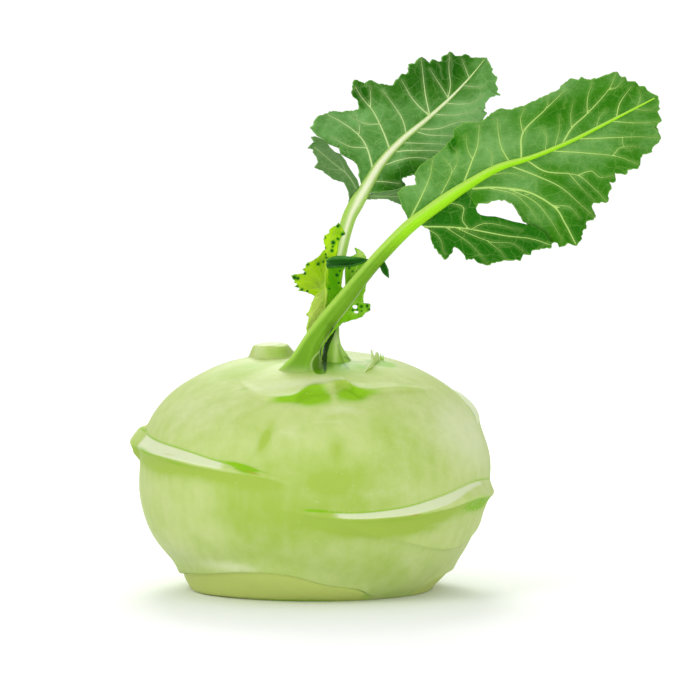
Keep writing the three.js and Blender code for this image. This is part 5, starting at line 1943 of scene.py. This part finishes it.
YOUNG_LEFT_FLESH = BladeFinish(
    "young_left_flesh", dark="4a9004", body="a2cc10", frost="cbdc6e", vein="b6d64c", rim="8cc010",
    frost_level=-0.1, net_share=0.16, net_size=2, glands="1a5216")
YOUNG_RIGHT_FLESH = BladeFinish(
    "young_right_flesh", dark="3f8806", body="74b414", frost="b0d066", vein="a4cc50", rim="8cbc3c",
    frost_level=-0.1, net_share=0.16, net_size=2, glands="1a5214")
LEAFLET_FLESH = BladeFinish(
    "leaflet_flesh", dark="062302", body="12460a", frost="468038", vein="2c6c16", rim="3a7828",
    frost_level=-0.15, net_share=0.35, net_size=1.6)


def young_left_height(x: Array, y: Array) -> Array:
    """The left heart leaf: a crease along its fold, 1.5 |y + 2.6| to the power 0.8 - 2.4, and ridges.

    The ridges are a sine of the direction seen from the foot of the upper blade, and grow outwards.

    Args:
        x: Places along the leaf.
        y: Places across it.

    Returns:
        The height at each.
    """
    away = np.hypot(x - 22, y + 3.4)
    fan = np.sin(13 * np.arctan2(x - 22, y + 3.4) + 0.8 * np.sin(0.9 * away))
    pleats = 0.1 * np.sin(3.2 * y + 2.2 * x) * smooth((22 - x) / 3)
    return 1.5 * ((y + 2.6) ** 2 + 0.3) ** 0.4 - 2.4 + 0.26 * fan * smooth((away - 1.5) / 6) + pleats


def young_right_height(x: Array, y: Array) -> Array:
    """A curl, 0.12 (y + 10) squared right of its middle, with crinkles."""
    bend = 0.12 * np.minimum(y + 10, 0) ** 2 - 0.12 * np.maximum(y + 10, 0)
    return bend + 0.3 * np.sin(x * 1.2) + 0.2 * np.sin(2.3 * y)


def glands(*places: Row) -> tuple[Row, ...]:
    """Patches for the dark, bead-like tips of a young leaf's teeth: place and spread of each."""
    return tuple((x, y, 0.86 * reach, 0.86 * reach, 0, 3.9) for x, y, reach in places)


YOUNG_LEFT_GLANDS = glands(
    (41.2, -6.3, 0.5), (38.9, -7.7, 0.55), (37.6, -6.3, 0.35), (36.5, -5, 0.62), (35.4, -4.9, 0.3),
    (34.3, -4.7, 0.45), (33.2, -3, 0.35), (32.3, -3.2, 0.5), (30.6, -0.5, 0.5), (31.2, -2, 0.35),
    (30.5, 2.2, 0.45), (28.1, 3.1, 0.45), (27.2, 5.9, 0.7), (26.9, 4.9, 0.5), (24.6, 5.2, 0.5),
    (23.7, 3.9, 0.5), (23.2, 2.4, 0.4), (27.6, -6.1, 0.45), (25.5, -6.6, 0.32), (28.8, -6.9, 0.25),
    (23.8, -4, 0.25), (15.3, -0.2, 0.4), (37.8, -2.7, 0.4), (35, -2.9, 0.3))
YOUNG_LEFT_PATCHES = ((39.5, -6, 3.4, 2.4, 0, 1.1), (34.5, -4.5, 3, 2, 0, 0.5), (32, -1.6, 2, 1.4, 0, 0.6),
                      (29.3, -3.3, 3.5, 0.36, 0, -1.5), (24, -1.2, 2, 2, 0, -0.5), *YOUNG_LEFT_GLANDS)


def heart_leaf_left() -> Leaf:
    """The crinkled young leaf.

    Returns:
        A fanned upper blade, a smooth right wing and a pale lower lobe in one.
    """
    fan_inner = (
        (21.8, -0.4), (22.7, -1.2), (24.6, -2.8), (26.3, -2.9), (29.3, -3.3), (31.6, -3.6), (32.7, -5.6),
        (34.4, -6), (36.3, -6.2), (38.2, -7), (39, -8.1), (40.9, -7), (41.9, -6.4),
    )
    fan_outer = (
        (21.8, 0.1), (22.4, 1.2), (23, 2.3), (23.3, 3.4), (23.5, 4.5), (24.2, 4.2), (24.6, 5.6), (25.3, 4.8),
        (25.7, 5.7), (26.3, 5.5), (26.5, 6), (27.7, 6.6), (27.4, 2.8), (28, 3.6), (28.4, 2.6), (29.2, 3.5),
        (29.3, 2.8), (30.6, 2.6), (31.3, 1.2), (32, -0.3), (33.3, -1.5), (34.6, -2.8), (35.4, -2.6),
        (36.9, -2.3), (38.3, -2.5), (39.3, -3.9), (40.3, -4.1), (40.9, -5.1), (41.9, -6.4),
    )
    wing_inner = ((31.6, -3.6), (29.3, -3.3), (26.3, -2.9), (24.6, -2.8), (22, -2.4), (19.5, -1.4), (15, 0))
    wing_outer = (
        (31.6, -7.9), (29.6, -8), (28.6, -7.3), (27.2, -7.1), (24.6, -6.9), (24, -7.4), (21.5, -6.6),
        (18.5, -5.6), (15, -3.5),
    )
    lobe_inner = ((24.6, -2.8), (23.4, -3.3), (20.4, -3.1), (17.4, -2.4), (12, -1), (8, -0.9), (1, -1.4))
    lobe_outer = (
        (21.8, 0.1), (19.7, 1), (17.8, 1.6), (17, 2.5), (16.1, 1.8), (14.9, 1.9), (12.7, 2.4), (11.7, 2.3),
        (10.4, 2.6), (7, 1.8), (1, 1.2),
    )
    sheets = (
        Sheet(curve_through(fan_inner, 210, 0.5), Margin(fan_outer, 1.2, 0.16, 0.2), 44),
        Sheet(curve_through(wing_inner, 110, 0.6), Margin(wing_outer, 1.6, 0.12), 30, depth=1.5),
        Sheet(curve_through(lobe_inner, 140, 0.6), Margin(lobe_outer, 1.5, 0.12), 30,
              lift=(25, 21, 0.5), inner_free=True, depth=-1.5),
    )
    ends = (
        (-0.6, 5.6), (0.2, 7), (1.2, 7.8), (3, 8.4), (3.6, 6.2), (4.6, 5.4), (6, 4.6), (7.2, 2.4), (8.4, 0.8),
    )
    foot_x, foot_y = 24.2, -2.4
    spokes = veins(*((0.08, foot_x, foot_y, foot_x + 0.55 * x, foot_y + 0.5 * y, foot_x + x, foot_y + y)
                     for x, y in ends), taper=0.3)
    lines = (
        *spokes,
        *veins((0.3, 31.8, -3.4, 29.3, -3.1, 26.3, -2.7, 24.4, -2.5, 22.2, -0.7), taper=0.1),
        *veins((0.12, 26, -2.8, 33, -3.4, 37, -4.4, 41, -6), (0.16, 22.6, -2.4, 18, -1.4, 12, 0.8, 5, 0),
               (0.12, 21.4, -3.2, 19.4, -0.8, 18, 1), (0.12, 19.4, -3, 16.4, 0, 14.4, 1.4),
               (0.1, 22.8, -3.4, 21.4, -1, 20.4, 0.5)),
    )
    return Leaf("heart_leaf_left", "young_leaf_left", LeafFrame((0, -8, 60), (0, 0, 1), (0, -1, 0)), sheets,
                young_left_height, lines, YOUNG_LEFT_FLESH, thickness=0.5, quilting=0.2, crinkle=0.2,
                patches=YOUNG_LEFT_PATCHES)


def heart_leaf_right() -> Leaf:
    """The curled young leaf behind the front stalk, with two gaps inside its lower curl.

    Returns:
        The leaf.
    """
    inner = (
        (1, 0), (8, -0.6), (13.4, -3), (18.4, -6.4), (24, -8.2), (29.4, -8.2), (32.6, -9.6), (33.2, -11.2),
        (34.2, -11.1), (34.9, -10.8),
    )
    outer = (
        (1, -1.5), (8, -2.2), (12, -5), (14.4, -7.6), (15.1, -10), (15.4, -11.5), (16.1, -12.8),
        (17.1, -13.6), (17.8, -14.8), (19.5, -14.9), (18.6, -14.1), (19.3, -13.8), (19.8, -13.1), (22, -13.1),
        (23.3, -13.6), (24.6, -13.8), (27, -14.2), (30, -13.6), (32.6, -13.9), (33.8, -13.1), (34.6, -12),
        (34.9, -10.8),
    )
    lines = (
        *veins((0.2, 2, -1, 12, -4, 20, -9, 28, -11, 34, -11.6), taper=0.5),
        *veins((0.1, 18, -8, 16.6, -11.4, 18.4, -14.2), (0.14, 26, -10.4, 29, -9.6, 30, -9),
               (0.14, 28, -11, 30.6, -12, 32.4, -13.2)),
    )
    patches = (
        (33.4, -12.6, 2, 2, 0, -2), (29, -10.6, 1.6, 2.4, 0, -0.8), (21, -12, 3, 2, 0, -0.6),
        (19.8, -11.6, 0.5, 1.6, 0, -0.8),
        *glands((29.4, -9.4, 0.5), (28.5, -10.2, 0.4), (28.4, -11.4, 0.35), (17.8, -10.3, 0.35),
                (17.9, -11.6, 0.4), (18.8, -12.8, 0.5), (19.1, -14.4, 0.5), (19.4, -11.7, 0.35),
                (34.2, -10.9, 0.45), (33.6, -11.3, 0.35), (17.6, -12.8, 0.3), (18.2, -14.9, 0.3)),
    )
    margin = Margin(outer, 1.3, 0.12, 0.3)
    sheet = Sheet(curve_through(inner, 190, 0.6), margin, 44, inner_free=True, depth=0.3)
    return Leaf("heart_leaf_right", "young_leaf_right", LeafFrame((0, -7, 60), (0, 0, 1), (0, -1, 0)),
                (sheet,), young_right_height, lines, YOUNG_RIGHT_FLESH, thickness=0.5, quilting=0.2,
                crinkle=0.25, holes=((18.7, -10.9, 0.55, 0.75), (17.3, -11.3, 0.4, 0.7)), patches=patches)


def leaflet_left_height(x: Array, y: Array) -> Array:
    """A fold near the upper edge, 0.4 |y|, with a slight twist."""
    return 0.4 * np.abs(y) + 0.12 * np.sin(0.9 * x)


def leaflet_right_height(x: Array, y: Array) -> Array:
    """A fold along the middle and a droop: 0.3 |y| + 0.03 x squared."""
    return 0.3 * np.abs(y) + 0.03 * x * x


def stalk_leaflets() -> tuple[Leaf, Leaf]:
    """The two small dark leaflets that stand out from the front stalk.

    Returns:
        The left one and the right one.
    """
    inner = ((0.6, 0.1), (2, -0.4), (5, -1), (8, -1.3), (10.5, -1.2), (12.1, -0.5))
    outer = ((0.6, 0.6), (2, 1.7), (4, 2.5), (7, 3), (10, 3.1), (11.7, 2.9), (12.1, -0.5))
    left = Leaf(
        "leaflet_left", "stalk_leaflet_left",
        LeafFrame((15, -17.4, 92.2), (-1, 0.12, -0.06), (0.05, -0.75, 0.65)),
        (Sheet(curve_through(inner, 90), Margin(outer, 1.6, 0.1), 24, inner_free=True),), leaflet_left_height,
        veins((0.1, 0.8, 0.2, 6, -0.3, 12, -0.1), (0.07, 3, 0, 5.6, 2), (0.07, 5.6, -0.2, 8.4, 2.2),
              (0.07, 8.4, -0.1, 11, 2.2)),
        LEAFLET_FLESH, thickness=0.5, quilting=0.05, crinkle=0.1,
        patches=(
            (6, -0.9, 9, 0.6, 0, -1.8), (6, 2.4, 3.5, 1, 0, 1.2), (12, 0.8, 0.6, 1.4, 0, -1.4),
            (10, 1.2, 2, 1.2, 0, -0.4),
        ),
    )
    inner = ((0.4, -0.8), (1.4, -0.9), (3.4, -0.9), (5.4, 0))
    outer = ((0.4, 0.7), (1.2, 0.8), (3.2, 0.8), (5.4, 0))
    right = Leaf(
        "leaflet_right", "stalk_leaflet_right",
        LeafFrame((17.9, -17.6, 92), (0.42, -0.1, -0.9), (-0.1, -1, 0.1)),
        (Sheet(curve_through(inner, 50), Margin(outer, 1.2, 0.06), 18, inner_free=True),),
        leaflet_right_height, veins((0.14, 0.5, 0, 5, 0)), LEAFLET_FLESH, thickness=0.45, quilting=0.03,
        crinkle=0.05,
    )
    return left, right


# ---- Crown details ----


@dataclass
class CrownFlap:
    """The torn strip of skin on the right of the crown, with dried fibres along its upper edge.

    The base and the top are places in the strip's own frame, and a fibre is the x and y of its foot and
    the height of its tip.
    """

    place: LeafFrame = LeafFrame((15.8, -12.6, 62.8), (0.24, 0.95, 0.17), (0.96, -0.25, 0.04))
    base: tuple[Row, ...] = ((-9, -2.4), (-4, -2.4), (2, -2.6), (6, -2.8), (10, -2.4))
    top: tuple[Row, ...] = (
        (-9, -1.8), (-7.6, 0.2), (-4, 0.9), (0, 1.4), (1.4, 2.6), (2.2, 4), (3, 2.2), (4, 1.8), (6.4, 1.1),
        (7.2, 2.2), (7.8, 1), (8.5, 0.9), (9, 1.8), (9.5, 0.6), (10, -1.5),
    )
    fibres: tuple[Row, ...] = ((17.9, -1.5, 65.7), (18.7, -1.5, 65.4), (18.2, -1.8, 65), (17.4, -2.2, 65.2))
    fibre_foot: float = 63.0
    fibre_radius: float = 0.3
    fibre_bow: float = 0.05
    fibre_lean: float = 0.1
    skin: BladeFinish = BladeFinish("flap_flesh", dark="8cba3c", body="a8c860", frost="cfdca0", vein="c4d59a",
                                    rim="ccd9a6", frost_level=0.4, net_share=0.05)
    fibre_skin: StalkFinish = StalkFinish("flap_fibre", body="9cc244", light="9cc244", dark="8cb838",
                                          foot="8fb04a")

    @staticmethod
    def height(x: Array, y: Array) -> Array:
        """The strip bulges to the right: 0.6 exp(-((x + 1) / 4) squared) - 0.6, and leans left above."""
        return 0.6 * gaussian((x + 1) / 4) - 0.6 - 0.03 * np.maximum(y, 0) ** 2

    def build(self) -> list[bpy.types.Object]:
        """Makes both.

        Returns:
            The strip and its fibres.
        """
        sheet = Sheet(curve_through(self.base, 90), Margin(self.top, 1.4, 0.16), 20)
        strip = Leaf("crown_flap", "bulb", self.place, (sheet,), self.height, veins((0.1, -8, -1, 10, 0)),
                     self.skin, thickness=0.35, quilting=0.05, crinkle=0.1)
        return [strip.build(), self.build_fibres()]

    def build_fibres(self) -> bpy.types.Object:
        """Makes the fibres: short tapering shreds of skin beside the strip, leaning right and left in turn.

        Returns:
            The piece, which adds to the frame and stands for no node.
        """
        shreds = []
        for i, (x, y, tall) in enumerate(self.fibres):
            tip = np.array([x + (-1) ** i * self.fibre_lean, y, tall])
            shreds.append(hair(np.array([x, y, self.fibre_foot]), tip, self.fibre_radius, self.fibre_bow))
        piece = Surface.joined(shreds).to_object("crown_fibres", self.fibre_skin.material())
        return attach(piece, BODY)


def hair(foot: Array, tip: Array, radius: float, bow: float, stations: int = 8, sides: int = 6) -> Surface:
    """A closed hair with a round section, which tapers evenly to 0.15 of its radius.

    Args:
        foot: Where it starts.
        tip: Where it ends.
        radius: Its radius at the foot.
        bow: How far it bows sideways, as a half sine.
        stations: Sections along it.
        sides: Points round its section.

    Returns:
        The hair, with the mark that its rind reads.
    """
    t = np.linspace(0, 1, stations)
    turn = np.arange(sides) / sides * 2 * math.pi
    centre = foot + t[:, None] * (tip - foot)
    centre[:, 0] += bow * np.sin(math.pi * t)
    girth = (radius * (1 - 0.85 * t))[:, None]
    rings = rings_along(centre, (-1, 0, 0), girth * np.cos(turn), girth * np.sin(turn))
    return closed_tube(rings, np.stack([foot, tip]), {"rind": np.zeros((rings[..., 0].size, 3))})


# ---- Studio ----


@dataclass(frozen=True)
class SoftLight:
    """A square area light: its name, place and side in millimetres, and its power in watts."""

    name: str
    place: Row
    size: float
    power: float

    def build(self) -> None:
        """Adds the light, turned to the middle of the bulb."""
        data = bpy.data.lights.new(self.name, "AREA")
        data.size = self.size * MM
        data.energy = self.power
        light = bpy.data.objects.new(self.name, data)
        light.location = Vector(self.place) * MM
        aim = Vector((0, 0, 40 * MM)) - light.location
        light.rotation_euler = aim.to_track_quat("-Z", "Y").to_euler()
        bpy.context.scene.collection.objects.link(light)


@dataclass(frozen=True)
class Studio:
    """The round floor, the pale room, the soft lights and the camera, which faces the target.

    Lengths are in millimetres, the elevation is in degrees, and the room's two numbers are its brightness
    behind the plant and behind the camera.
    """

    floor_radius: float = 650.0
    room_back: float = 1.04
    room_front: float = 0.72
    lights: tuple[SoftLight, ...] = (
        SoftLight("key", (-520, -520, 620), 420, 2.2),
        SoftLight("back", (-60, 760, 560), 360, 4.5),
        SoftLight("fill", (160, -1000, 130), 420, 4.5),
    )
    target: Row = (9.5, 0, 66.4)
    distance: float = 1200.0
    elevation: float = 3.3
    lens: float = 222.2
    sensor: float = 36.0

    def build(self) -> None:
        """Makes the floor, the room, the lights and the camera."""
        bpy.ops.mesh.primitive_circle_add(vertices=128, radius=self.floor_radius * MM, fill_type="NGON")
        floor = bpy.context.object
        floor.name = "studio_floor"
        floor.data.materials.append(FloorFinish().material())
        self.build_room()
        for light in self.lights:
            light.build()
        self.build_camera()
        bpy.context.scene.view_settings.view_transform = "Standard"

    def build_room(self) -> None:
        """Lights the world evenly from above and behind, fading towards the front."""
        world = bpy.data.worlds.new("studio_room")
        world.use_nodes = True
        nodes, links = world.node_tree.nodes, world.node_tree.links
        direction = nodes.new("ShaderNodeTexCoord")
        split = nodes.new("ShaderNodeSeparateXYZ")
        fade = nodes.new("ShaderNodeMapRange")
        fade.inputs["From Min"].default_value, fade.inputs["From Max"].default_value = -0.6, 0.6
        fade.inputs["To Min"].default_value = self.room_front
        fade.inputs["To Max"].default_value = self.room_back
        links.new(direction.outputs["Generated"], split.inputs["Vector"])
        links.new(split.outputs["Y"], fade.inputs["Value"])
        links.new(fade.outputs["Result"], nodes["Background"].inputs["Strength"])
        nodes["Background"].inputs["Color"].default_value = (1, 1, 1, 1)
        bpy.context.scene.world = world

    def build_camera(self) -> None:
        """Makes the camera, which looks slightly down at the plant from the front."""
        data = bpy.data.cameras.new("camera")
        data.lens = self.lens
        data.sensor_width = self.sensor
        data.clip_start, data.clip_end = 0.05, 20
        camera = bpy.data.objects.new("camera", data)
        tilt = self.elevation * DEGREE
        back = Vector((0, -math.cos(tilt), math.sin(tilt)))
        camera.location = (Vector(self.target) + back * self.distance) * MM
        camera.rotation_euler = (-back).to_track_quat("-Z", "Y").to_euler()
        bpy.context.scene.collection.objects.link(camera)
        bpy.context.scene.camera = camera


# ---- The whole ----


def corners(box: tuple[Vector, Vector]) -> list[list[float]]:
    """A box's two corners as plain lists."""
    return [list(box[0]), list(box[1])]


def main() -> None:
    """Builds every sub-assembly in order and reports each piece."""
    logging.basicConfig(level=logging.INFO, format="%(message)s")
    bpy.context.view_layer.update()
    Studio().build()
    pieces = [Bulb().build()]
    pieces += [part.build() for part in front_leaf()]
    pieces += [part.build() for part in back_leaf()]
    pieces += [part.build() for part in (heart_leaf_left(), heart_leaf_right())]
    pieces += [part.build() for part in stalk_leaflets()]
    pieces += CrownFlap().build()
    for piece in pieces:
        LOG.info("%s: %d points, %d faces", piece.name, len(piece.data.vertices), len(piece.data.polygons))


if __name__ == "__main__":
    main()
